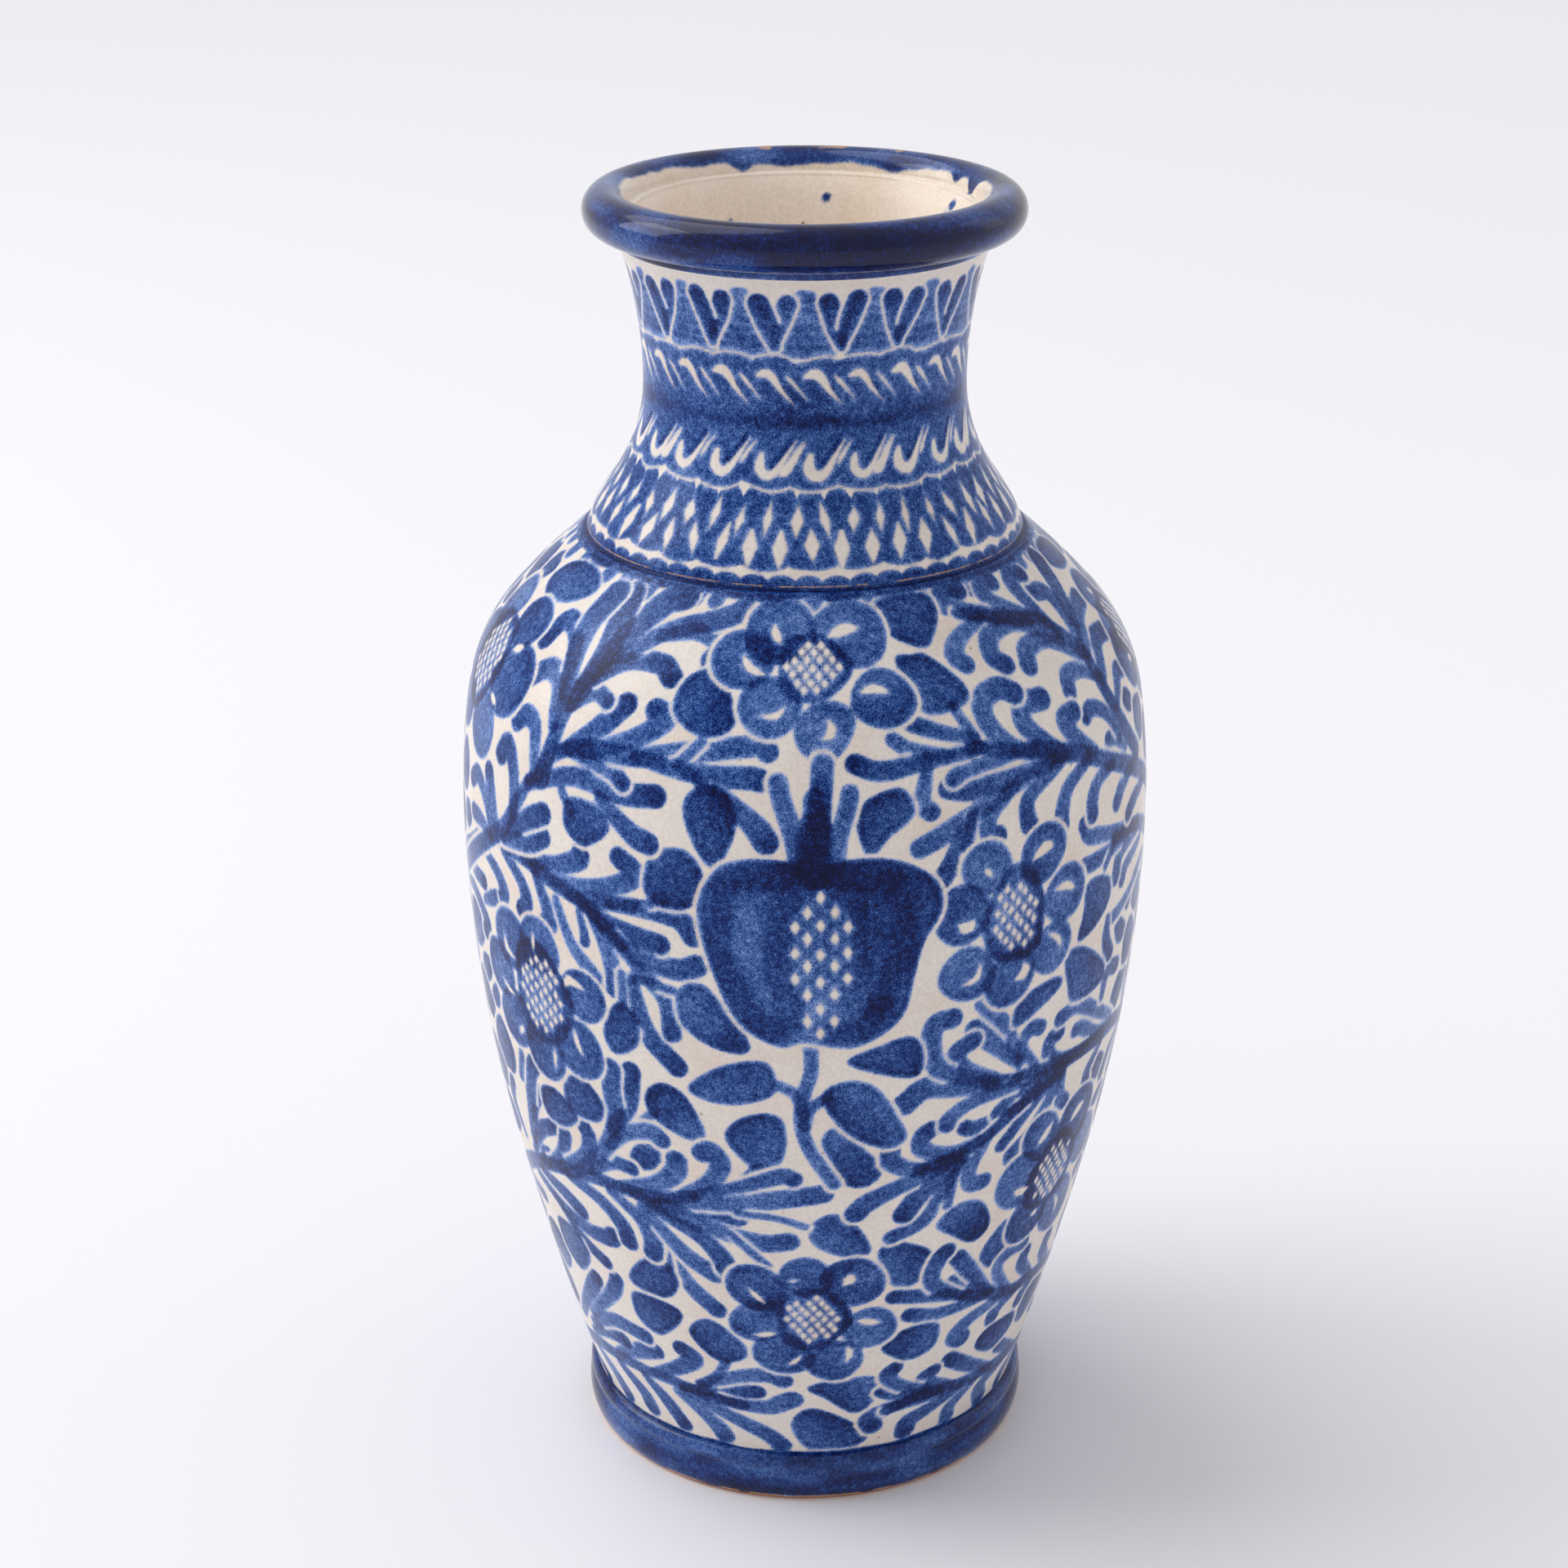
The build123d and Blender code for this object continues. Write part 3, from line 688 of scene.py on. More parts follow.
def footOfNeck():  # height of the neck's bottom edge, above its upright side
    steep = np.abs(np.diff(neckLine[:, 0])) < 0.02
    return neckLine[1:][steep & (neckLine[1:, 1] < neckLine[0, 1] + 8), 1].max()


neckPaint = {"cell": 0.4, "leaves": 17, "firstLeaf": 11.5, "laurel": 23, "firstHook": 3, "laurelFoot": 29.0,
             "laurelTop": 64.0, "spine": 46.5, "darkTurn": 15, "windows": 43, "firstWindow": -2.5,
             "latticeFoot": 5.9, "latticeTop": 24.6, "lowRow": 11.2, "highRow": 18.8, "dabs": 52,
             "ledgeBand": 1.4}
neck = newSheet(neckLine, neckPaint["cell"])
neck["along"] = neck["along"] - neck["along"][np.argmax(neck["line"][:, 1] > footOfNeck() - 0.3)]
neckTurn, neckAlong = np.meshgrid(neck["turn"], neck["along"])


def bump(turn, count, phase=0.0):  # rounded scallops, 1 at the middle of each and 0 between
    return np.abs(np.cos((turn - phase) * count * math.pi / 360))


def wave(seed, reach):
    return reach * (softNoise((4, len(neck["turn"])), (1, 40), seed)[:1] - 0.5)


def neckBand(low, high, tone):
    depth = np.minimum(neckAlong - low, high - neckAlong)
    neck["tone"] = np.where(depth > -0.5, np.maximum(neck["tone"], tone), neck["tone"])
    neck["paint"] = np.maximum(neck["paint"], depth)


scallop = bump(neckTurn, neckPaint["windows"], -6.69)
latticeTop = neckPaint["latticeTop"] + 4.2 * scallop ** 0.5 + wave(22, 1.6)
latticeFoot = neckPaint["latticeFoot"] - 1.7 * bump(neckTurn, 29, 2) ** 0.5 + wave(24, 1.4)
laurelFoot = neckPaint["laurelFoot"] - 1.6 * bump(neckTurn, neckPaint["laurel"], 3) ** 0.6 + wave(21, 1.8)
laurelTop = neckPaint["laurelTop"] + 1.4 * bump(neckTurn, 25, 4) ** 0.6 + wave(23, 1.8)
ledgeBand = neckPaint["ledgeBand"] + 1.9 * bump(neckTurn, neckPaint["dabs"], 1) ** 0.5 + wave(25, 1.0)
neckBand(laurelFoot, laurelTop, 0.5)
neckBand(latticeFoot, np.minimum(latticeTop, laurelFoot - 0.75), 0.55)
neckBand(-20 + 0 * neckTurn, ledgeBand, 0.6)

reserves = {"eyes": [], "windows": []}
pitch = 360 / neckPaint["laurel"]
for k in range(neckPaint["laurel"]):  # white hooks above and below the spine, darker commas between them
    x = neckPaint["firstHook"] + k * pitch + rng.uniform(-0.9, 0.9)
    fat = rng.uniform(0.7, 1.1)
    reserves["eyes"] += [
        (1.45 * fat, (x - 3.2, 59.9), (x, 60.6), (x + 2.4, 58.6), (x + 4.6, 55.6), (x + 9, 51.6)),
        (0.6 * fat, (x + 6.5, 59.8), (x + 9.5, 57), (x + 13.6, 52.8)),
        (1.6 * fat, (x - 1.8, 37), (x - 2.4, 33.4), (x + 0.2, 31.3), (x + 3.2, 32.6), (x + 6.2, 36.6),
         (x + 10, 41.6)),
        (0.6 * fat, (x + 7.4, 35), (x + 9.4, 38), (x + 12.4, 41.2))]
    if k % 3 == 1:
        reserves["eyes"].append((1.5, (x + 5, 32), (x + 7.6, 34.4), (x + 13, 41)))
    neckWash = [(2.0, 0.76, (x + 3.4, 57.8), (x + 5.4, 56), (x + 8.6, 52.2)),
                (2.2, 0.78, (x + 2.2, 34.4), (x + 5, 37), (x + 8.4, 41.4)),
                (1.0, 0.66, (x - 6, 56), (x, 50.5)), (1.0, 0.66, (x - 5, 38), (x + 2, 43.5))]
    layMotif(neck, {"washes": neckWash}, -50)
pitch = 360 / neckPaint["windows"]
for k in range(neckPaint["windows"]):  # two staggered rows of lattice windows
    x = neckPaint["firstWindow"] + k * pitch + rng.uniform(-0.6, 0.6)
    high = (rng.uniform(1.0, 2.0), rng.uniform(3.4, 5.4),
            [(x, neckPaint["highRow"] + rng.uniform(-0.9, 0.9))])
    low = (rng.uniform(1.2, 2.3), rng.uniform(4.6, 6.8),
           [(x + pitch / 2, neckPaint["lowRow"] + rng.uniform(-0.8, 0.8))])
    reserves["windows"] += [high, low]


def carve(sheet, marks):  # leaves bare ground inside what is painted
    whole = (slice(None), slice(None))

    def cutOut(points, depthOf):
        patch = patchOf(sheet, points, 6)
        at = np.ix_(patch["rows"], patch["columns"])
        sheet["paint"][at] = np.minimum(sheet["paint"][at], -depthOf(patch))

    for size, *points in marks["eyes"]:
        for shift in (0, -360):
            placed = [(x + shift, y) for x, y in points]
            cutOut(placed, lambda patch: strokeDepth(patch, whole, placed, trail(size))[0])
    for wide, high, centres in marks["windows"]:
        lean = rng.uniform(-0.25, 0.25)
        cutOut(centres, lambda patch: windowDepth(patch, whole, centres, wide, high, lean))


def deepen(sheet, amount):  # darkens the tone by a share of what is left
    sheet["tone"] = 1 - (1 - sheet["tone"]) * (1 - amount)


carve(neck, reserves)
pitch = 360 / neckPaint["leaves"]
for k in range(neckPaint["leaves"]):  # two fat commas meeting at the foot
    x = neckPaint["firstLeaf"] + k * pitch + rng.uniform(-0.5, 0.5)
    turn = rng.choice((-1, 1))
    tip = x + rng.uniform(-0.8, 0.8)
    pair = [(rng.uniform(2.8, 3.3), (tip, 68.6), (x - 1.6, 74), (x - 4.4, 82 + rng.uniform(-0.8, 0.8))),
            (rng.uniform(2.5, 3.0), (tip + 0.4, 70), (x + 2.4, 76), (x + 4.6, 82 + rng.uniform(-1.5, 0.8)))]
    leaf = {"strokes": pair[::turn], "washes": [(1.5, 0.3, (x - turn * 3.6, 82), (x - turn, 74))]}
    layMotif(neck, leaf, 0.75, 0.56, swell=0.2)
bellRows = ((84, 1.0), (81, 1.6), (78, 2.4), (75, 3.6), (72.2, 5.0), (69.6, 6.6), (67.2, 8.0))  # up, across
for k in range(neckPaint["leaves"]):  # bells of level strokes between the leaves
    x = neckPaint["firstLeaf"] + (k + 0.5) * pitch + rng.uniform(-0.6, 0.6) + rng.uniform(-0.8, 0.8)
    bell = [(rng.uniform(1.8, 2.1), (x - wide + rng.uniform(-0.7, 0.7), y),
             (x + wide + rng.uniform(-0.7, 0.7), y + rng.uniform(-0.5, 0.5))) for y, wide in bellRows]
    layMotif(neck, {"lines": bell}, 0.75, 0.42, swell=0.1)
broken = softNoise(neck["paint"].shape, (3, 150), 28)
neck["wear"] = np.exp(-((neckAlong + 0.2) / 0.4) ** 2) * np.clip(0.35 + 1.3 * broken, 0, 1)
# painted shadow, partly pooled glaze: below the neck's foot the tone takes the ledge band's blue and darkens
# in a line under the ledge edge
underLedgeShadowAndPool = np.exp(-((neckAlong + 1.5) / 0.55) ** 2)
neck["tone"] = np.where(neckAlong < -0.4, 0.62 + 0.34 * underLedgeShadowAndPool, neck["tone"])
spine = np.exp(-((neckAlong - neckPaint["spine"] - wave(27, 1)) / 2.1) ** 2)
dark = np.exp(-(neckTurn / neckPaint["darkTurn"]) ** 2)
dark += 0.6 * np.exp(-((np.abs(neckTurn) - 178) / neckPaint["darkTurn"]) ** 2)
deepen(neck, spine * (0.38 + 0.35 * dark))
deepen(neck, 0.35 * dark * np.exp(-((neckAlong - neckPaint["spine"] - 7.5) / 6) ** 2))
print("neck bands painted")

lip = newSheet(np.vstack([neckLine[-1:], lipLine]), 0.5)
lipRun = lip["along"][:, None]
crest = lip["along"][np.argmax(lip["line"][:, 1])]
belly = lip["along"][np.argmax(lip["line"][:, 0])]
mouth = np.abs((lip["turn"] + 180) % 360 - 180)
lipLook = {"tone": 0.67, "front": 18, "frontReflectionWide": 26, "bellyWide": 6.0, "crestWide": 3.0, "over": 8.2,
           "overBack": 2.8, "ragged": 1.6, "fine": 0.7,
           "drops": [(108, 3.5, 6.0), (120, 3, 2.4), (-158, 3.5, 2.6), (-170, 8, 1.4), (150, 7, 1.6)]}


def runs(turn):  # how far the rim's blue runs past the joint with the lining, round the mouth
    cells = (4, len(turn))
    size = softNoise(cells, (1, 22), 51)[0] - 0.5
    fine = softNoise(cells, (1, 90), 52)[0] - 0.5
    drops = 0
    for at, wide, reach in lipLook["drops"]:
        drops = drops + reach * np.exp(-(((turn - at + 180) % 360 - 180) / wide) ** 2)
    back = lipLook["overBack"] * smooth(100, 150, np.abs(turn))
    return -lipLook["over"] + back + lipLook["ragged"] * size + lipLook["fine"] * fine + drops


streaks = cloudy(lip, (11, 22), 31)
clouds = cloudy(lip, (3, 21), 32)
# painted dark reflection: the tone deepens on the bead's belly across the front, and by half as much round
# the sides and back
front = np.exp(-((lip["turn"][None] - lipLook["front"]) / lipLook["frontReflectionWide"]) ** 2)
front = front + 0.5 * smooth(60, 85, mouth)[None]
lower = np.exp(-((lipRun - belly) / lipLook["bellyWide"]) ** 2)
lip["tone"] = lipLook["tone"] + 0.46 * clouds + 0.4 * streaks + 0.1 * lower + 0.62 * front * lower
lip["paint"] = np.minimum(lipRun + 0.4 + 0.8 * clouds[:1],
                          lip["along"][-1] - lipRun + runs(lip["turn"])[None])
rubbed = softNoise(lip["paint"].shape, (4, 60), 33)
worn = np.exp(-((lipRun - crest) / lipLook["crestWide"]) ** 2) * smooth(95, 175, mouth)[None]
lip["wear"] = np.clip(worn * (rubbed - 0.7) * 6, 0, 1)

footLook = {"tone": 0.7, "deepest": 3.0, "bareEdge": 0.6}
foot = newSheet(footLine, 0.5)
footRun = foot["along"][:, None]
foot["paint"] = np.minimum(footLook["deepest"], footRun + 0.4 + 1.6 * cloudy(foot, (1, 70), 41))
foot["tone"] = footLook["tone"] + 0.42 * cloudy(foot, (2, 24), 42) + 0.35 * cloudy(foot, (5, 40), 43)
chipped = softNoise(foot["paint"].shape, (2, 90), 44)
foot["wear"] = np.exp(-((footRun - 0.3) / footLook["bareEdge"]) ** 2) * np.clip(1.6 * chipped, 0, 1)

liningPaint = {"tone": 0.6,
               "spots": ((172, 6.5, 1.2, 0.78), (-150, 12, 0.5, 0.3), (113, 3.2, 1.5, 0.4),
                         (117, 6, 0.8, 0.3))}
lining = newSheet(np.vstack([liningLine, [(0.0, liningLine[-1][1])]]), 0.8)
lining["paint"] = runs(lining["turn"])[None] - lining["along"][:, None]
lining["tone"][:] = liningPaint["tone"]
for x, y, r, strength in liningPaint["spots"]:
    layMotif(lining, {"discs": [(x, y, r)]}, -50, strength)
print("lip, foot and lining painted")

relief = {"throwing": 0.09, "wobble": 0.06}
for sheet, seed in ((body, 61), (neck, 62), (lip, 63), (foot, 64), (lining, 65)):
    length = sheet["along"][-1] - sheet["along"][0]
    shape = sheet["paint"].shape
    rings = softNoise(shape, (max(2, round(length / 5.5)), 5), seed)
    swell = softNoise(shape, (max(2, round(length / 24)), 9), seed + 10)
    sheet["relief"] = -relief["throwing"] * rings - relief["wobble"] * swell
    edge = np.minimum(sheet["along"] - sheet["along"][0], sheet["along"][-1] - sheet["along"])
    sheet["relief"] *= smooth(0, 4, edge)[:, None]


def sampled(sheet, field, turn, row):  # reads a field between the sheet's cells
    values = sheet[field] if isinstance(field, str) else field
    j = np.clip(row, 0, values.shape[0] - 1.001)
    i = (turn + 180) / 360 * values.shape[1]
    j0 = j.astype(int)
    i0 = np.floor(i).astype(int)
    v = j - j0
    u = i - i0
    left = i0 % values.shape[1]
    right = (i0 + 1) % values.shape[1]
    low = values[j0, left] * (1 - u) + values[j0, right] * u
    return low * (1 - v) + values[j0 + 1, left] * v * (1 - u) + values[j0 + 1, right] * v * u



def inScene(name, data):  # a new object, linked into the scene
    made = bpy.data.objects.new(name, data)
    bpy.context.scene.collection.objects.link(made)
    return made


def addNode(tree, kind, x, y, **settings):
    node = tree.nodes.new(kind)
    node.location = (x, y)
    for key, value in settings.items():
        setattr(node, key, value)
    return node


def mathNode(tree, operation, x, y, *inputs):
    node = addNode(tree, "ShaderNodeMath", x, y, operation=operation)
    for k, value in enumerate(inputs):
        if hasattr(value, "is_output"):
            tree.links.new(value, node.inputs[k])
        else:
            node.inputs[k].default_value = value
    return node.outputs[0]


def turningTree():  # wraps a grid round the axis along a profile, closed on its hidden side
    tree = bpy.data.node_groups.new("turnedSkin", "GeometryNodeTree")
    inputs = (("Geometry", "Geometry"), ("Profile", "Object"), ("Columns", "Int"), ("Rows", "Int"),
              ("Finish", "Material"))
    for label, kind in inputs:
        tree.interface.new_socket(label, in_out="INPUT", socket_type="NodeSocket" + kind)
    tree.interface.new_socket("Geometry", in_out="OUTPUT", socket_type="NodeSocketGeometry")
    link = tree.links.new
    given = addNode(tree, "NodeGroupInput", -1200, 0)
    result = addNode(tree, "NodeGroupOutput", 1400, 0)

    def after(before, kind, x, **settings):  # the next node along the chain of geometry
        node = addNode(tree, kind, x, 200, **settings)
        link(before.outputs[0], node.inputs["Geometry"])
        return node

    grid = addNode(tree, "GeometryNodeMeshGrid", -800, 200)
    grid.inputs["Size X"].default_value = 1
    grid.inputs["Size Y"].default_value = 1
    link(mathNode(tree, "ADD", -1000, 100, given.outputs["Columns"], 1), grid.inputs["Vertices X"])
    link(given.outputs["Rows"], grid.inputs["Vertices Y"])
    place = addNode(tree, "ShaderNodeSeparateXYZ", -800, -100)
    link(addNode(tree, "GeometryNodeInputPosition", -1000, -100).outputs[0], place.inputs[0])
    last = mathNode(tree, "SUBTRACT", -800, -300, given.outputs["Rows"], 1)
    row = mathNode(tree, "ADD", -700, -200, place.outputs["Y"], 0.5)
    row = mathNode(tree, "MULTIPLY", -600, -200, row, last)
    row = mathNode(tree, "MODULO", -450, -200, mathNode(tree, "ROUND", -500, -200, row), last)
    angle = mathNode(tree, "MULTIPLY", -600, -50, place.outputs["X"], 2 * math.pi)
    profile = addNode(tree, "GeometryNodeObjectInfo", -800, -500)
    link(given.outputs["Profile"], profile.inputs["Object"])
    sample = addNode(tree, "GeometryNodeSampleIndex", -350, -350, data_type="FLOAT_VECTOR", domain="POINT")
    link(profile.outputs["Geometry"], sample.inputs["Geometry"])
    link(addNode(tree, "GeometryNodeInputPosition", -550, -500).outputs[0], sample.inputs["Value"])
    link(row, sample.inputs["Index"])
    level = addNode(tree, "ShaderNodeSeparateXYZ", -150, -350)
    link(sample.outputs["Value"], level.inputs[0])
    spun = addNode(tree, "ShaderNodeCombineXYZ", 250, -150)
    side = mathNode(tree, "MULTIPLY", 50, -50, level.outputs["X"], mathNode(tree, "SINE", -150, -50, angle))
    link(side, spun.inputs["X"])
    back = mathNode(tree, "MULTIPLY", 50, -200, level.outputs["X"],
                    mathNode(tree, "COSINE", -150, -200, angle))
    link(mathNode(tree, "MULTIPLY", 150, -200, back, -1), spun.inputs["Y"])
    link(level.outputs["Z"], spun.inputs["Z"])
    keepRow = after(grid, "GeometryNodeStoreNamedAttribute", 250, data_type="FLOAT", domain="POINT")
    keepRow.inputs["Name"].default_value = "row"
    link(row, keepRow.inputs["Value"])
    wrapped = after(keepRow, "GeometryNodeSetPosition", 450)
    link(spun.outputs[0], wrapped.inputs["Position"])
    joined = after(wrapped, "GeometryNodeMergeByDistance", 650)
    joined.inputs["Distance"].default_value = 2e-6
    soft = after(joined, "GeometryNodeSetShadeSmooth", 850)
    finish = after(after(soft, "GeometryNodeRealizeInstances", 1000), "GeometryNodeSetMaterial", 1200)
    link(given.outputs["Finish"], finish.inputs["Material"])
    link(finish.outputs[0], result.inputs[0])
    return tree


turnedSkin = turningTree()


def meshFromNodes(name, tree, values):  # runs a tree with its named inputs and keeps the plain mesh
    carrier = inScene(name, bpy.data.meshes.new(name + "Start"))
    modifier = carrier.modifiers.new("make", "NODES")
    modifier.node_group = tree
    for item in tree.interface.items_tree:
        if item.item_type == "SOCKET" and item.in_out == "INPUT" and item.name in values:
            modifier[item.identifier] = values[item.name]
    carrier.update_tag()
    bpy.context.view_layer.update()
    made = carrier.evaluated_get(bpy.context.evaluated_depsgraph_get())
    mesh = bpy.data.meshes.new_from_object(made)
    carrier.modifiers.clear()
    carrier.data = mesh
    mesh.name = name
    return carrier


def profileNormals(line):  # unit normals, outwards for a line that climbs
    slope = np.gradient(line, axis=0)
    slope /= np.hypot(*slope.T)[:, None]
    return np.stack([slope[:, 1], -slope[:, 0]], 1)


def hiddenSide(at, normals,
               coat):  # the clay side of a skin: few rows where it is straight, more at its corners
    keep = [len(at) - 1]
    for k in range(len(at) - 2, 0, -1):
        turned = math.degrees(math.acos(np.clip(normals[k] @ normals[keep[-1]], -1, 1)))
        if turned > 5 or np.hypot(*(at[k] - at[keep[-1]])) > 9:
            keep.append(k)
    keep.append(0)
    under = at[keep] - coat * normals[keep]
    under[:, 0] = np.maximum(under[:, 0], 0)
    return under


def turnSkin(name, sheet, first, last, rowsWanted, columns, coat,
             material):  # one skin, with its paint and relief
    line = sheet["line"]
    normals = profileNormals(line)

    def readAt(places, values):
        return np.stack([np.interp(places, np.arange(len(line)), values[:, k]) for k in (0, 1)], 1)

    spots = np.linspace(first, last, rowsWanted)
    at = readAt(spots, line)
    ring = np.vstack([at, hiddenSide(at, readAt(spots, normals), coat), at[:1]])
    mesh = bpy.data.meshes.new("profile")
    mesh.from_pydata([(r * mm, 0, z * mm) for r, z in ring], [], [])
    profile = inScene("profile", mesh)
    values = {"Profile": profile, "Columns": columns, "Rows": len(ring), "Finish": material}
    skin = meshFromNodes(name, turnedSkin, values)
    bpy.data.objects.remove(profile)
    bpy.data.meshes.remove(mesh)
    mesh = skin.data
    count = len(mesh.vertices)
    points = np.empty(count * 3)
    mesh.vertices.foreach_get("co", points)
    points = points.reshape(-1, 3)
    row = np.empty(count, np.float32)
    mesh.attributes["row"].data.foreach_get("value", row)
    mesh.attributes.remove(mesh.attributes["row"])
    shown = row < rowsWanted - 0.5
    spot = np.interp(row, np.arange(rowsWanted), spots)
    turn = np.degrees(np.arctan2(points[:, 0], -points[:, 1]))
    sink = sampled(sheet, "relief", turn, spot)
    flat = readAt(spot, normals)
    way = np.radians(turn)
    around = np.stack([np.cos(way), np.sin(way), 0 * way], 1)
    outwards = np.stack([np.sin(way), -np.cos(way), 0 * way], 1)
    normal = outwards * flat[:, :1] + np.array([0, 0, 1]) * flat[:, 1:]
    climb = np.cross(normal, around)
    slopeAlong, slopeRound = np.gradient(sheet["relief"])
    tiltUp = sampled(sheet, slopeAlong / sheet["step"], turn, spot)
    cell = 2 * math.pi * np.maximum(np.hypot(points[:, 0], points[:, 1]) / mm, 1) / len(sheet["turn"])
    tiltRound = sampled(sheet, slopeRound, turn, spot) / cell
    points[shown] += (normal * sink[:, None] * mm)[shown]
    mesh.vertices.foreach_set("co", points.ravel())
    shade = normal - climb * tiltUp[:, None] - around * tiltRound[:, None]
    shade /= np.linalg.norm(shade, axis=1)[:, None]
    shade[~shown] = -normal[~shown]
    paint = np.where(shown, np.clip(sampled(sheet, "paint", turn, spot), -3, 3), -3)
    tone = np.clip(sampled(sheet, "tone", turn, spot), 0, 1)
    wear = np.where(shown, sampled(sheet, "wear", turn, spot), 0)
    for key, values in (("paint", paint), ("tone", tone), ("wear", wear)):
        layer = mesh.attributes.new(key, "FLOAT", "POINT")
        layer.data.foreach_set("value", values.astype(np.float32))
    mesh.update()
    mesh.normals_split_custom_set_from_vertices(shade.tolist())
    print(name, len(mesh.polygons), "faces")
    return skin


def linear(red, green, blue):  # a colour picked as 0 to 255 values
    shares = [v / 255 for v in (red, green, blue)]
    return [((v + 0.055) / 1.055) ** 2.4 if v > 0.04 else v / 12.92 for v in shares] + [1]


glazeLook = {"white": linear(232, 223, 214), "whiteWarm": linear(226, 208, 194), "speck": linear(120, 84, 60),
             "cobalt": [(0.0, linear(144, 170, 220)), (0.3, linear(86, 118, 181)), (0.5, linear(47, 85, 149)),
                        (0.68, linear(12, 50, 120)), (0.84, linear(1, 20, 86)), (1.0, linear(1, 4, 46))]}


def mix(tree, x, y, factor, first, second):  # blends two colours
    node = addNode(tree, "ShaderNodeMix", x, y, data_type="RGBA")
    for socket, value in ((node.inputs[0], factor), (node.inputs[6], first), (node.inputs[7], second)):
        if hasattr(value, "is_output"):
            tree.links.new(value, socket)
        else:
            socket.default_value = value
    return node.outputs[2]


def ramp(tree, x, y, value, stops):
    node = addNode(tree, "ShaderNodeValToRGB", x, y)
    tree.links.new(value, node.inputs[0])
    marks = node.color_ramp.elements
    while len(marks) < len(stops):
        marks.new(0.5)
    for mark, (position, colour) in zip(marks, stops):
        mark.position = position
        mark.color = colour
    return node.outputs[0]


def noise(tree, x, y, scale, detail, rough, vector):
    node = addNode(tree, "ShaderNodeTexNoise", x, y)
    node.inputs["Scale"].default_value = scale
    node.inputs["Detail"].default_value = detail
    node.inputs["Roughness"].default_value = rough
    tree.links.new(vector, node.inputs["Vector"])
    return node.outputs["Fac"]


def remap(tree, x, y, value, low, high, toLow=0.0, toHigh=1.0):
    node = addNode(tree, "ShaderNodeMapRange", x, y, interpolation_type="SMOOTHSTEP")
    tree.links.new(value, node.inputs[0])
    for k, bound in enumerate((low, high, toLow, toHigh)):
        node.inputs[k + 1].default_value = bound
    return node.outputs[0]


def onVase(tree):  # each point's own place on the vase
    return addNode(tree, "ShaderNodeTexCoord", -1400, -400).outputs["Object"]


def spots(tree, where, scale, channel, rarest, reach):  # scattered dots, one in a few cells
    cells = addNode(tree, "ShaderNodeTexVoronoi", -1000, -500)
    cells.inputs["Scale"].default_value = scale
    tree.links.new(where, cells.inputs["Vector"])
    tint = addNode(tree, "ShaderNodeSeparateColor", -800, -600)
    tree.links.new(cells.outputs["Color"], tint.inputs[0])
    chosen = remap(tree, -600, -600, tint.outputs[channel], rarest, rarest + 0.04)
    near = remap(tree, -600, -450, cells.outputs["Distance"], *reach, 1, 0)
    return mathNode(tree, "MULTIPLY", -400, -500, chosen, near)


def newGroup(name, inputs, outputs):
    tree = bpy.data.node_groups.new(name, "ShaderNodeTree")
    for label, kind, value in inputs:
        socket = tree.interface.new_socket(label, in_out="INPUT", socket_type=kind)
        if value is not None:
            socket.default_value = value
    for label, kind in outputs:
        tree.interface.new_socket(label, in_out="OUTPUT", socket_type=kind)
    return tree, addNode(tree, "NodeGroupInput", -1400, 0), addNode(tree, "NodeGroupOutput", 1200, 0)


def brushedCobaltGroup():  # turns painted depth and tone into cobalt on the white ground
    tree, given, result = newGroup("brushedCobalt",
        [("Paint", "NodeSocketFloat", 0), ("Tone", "NodeSocketFloat", 0.5),
         ("Ground", "NodeSocketColor", glazeLook["white"]), ("Grain", "NodeSocketFloat", 1.0),
         ("Mottle", "NodeSocketFloat", 1.0), ("Softness", "NodeSocketFloat", 0.35)],
        [("Color", "NodeSocketColor"), ("Mask", "NodeSocketFloat")])
    link = tree.links.new
    where = onVase(tree)
    fine = noise(tree, -1000, -200, 2600, 2, 0.7, where)
    coarse = noise(tree, -1000, -400, 620, 4, 0.66, where)
    cloud = noise(tree, -1000, -600, 95, 3, 0.5, where)
    fray = mathNode(tree, "ADD", -700, -200, mathNode(tree, "MULTIPLY_ADD", -800, -200, fine, 0.9, -0.45),
                    mathNode(tree, "MULTIPLY_ADD", -800, -350, coarse, 0.7, -0.35))
    fray = mathNode(tree, "MULTIPLY", -600, -200, fray, given.outputs["Grain"])
    edge = mathNode(tree, "ADD", -500, 0, given.outputs["Paint"], fray)
    width = mathNode(tree, "DIVIDE", -400, 0, edge, given.outputs["Softness"])
    mask = remap(tree, -200, 0, width, -1, 1)
    grain = mathNode(tree, "MULTIPLY_ADD", -700, -500, fine, 1.7, -0.85)
    patchy = mathNode(tree, "MULTIPLY_ADD", -700, -600, coarse, 1.0, -0.5)
    broad = mathNode(tree, "MULTIPLY_ADD", -700, -700, cloud, 0.4, -0.2)
    mottle = mathNode(tree, "ADD", -500, -500, mathNode(tree, "ADD", -600, -500, grain, patchy), broad)
    mottle = mathNode(tree, "MULTIPLY", -400, -500, mottle, given.outputs["Mottle"])
    rimShade = remap(tree, -400, -250, given.outputs["Paint"], 0.0, 1.7, -0.24, 0.02)
    tone = mathNode(tree, "ADD", -300, -300, given.outputs["Tone"], mottle)
    tone = mathNode(tree, "ADD", -200, -300, tone, rimShade)
    blue = ramp(tree, 0, -300, tone, glazeLook["cobalt"])
    link(mix(tree, 600, 0, mask, given.outputs["Ground"], blue), result.inputs["Color"])
    link(mask, result.inputs["Mask"])
    return tree


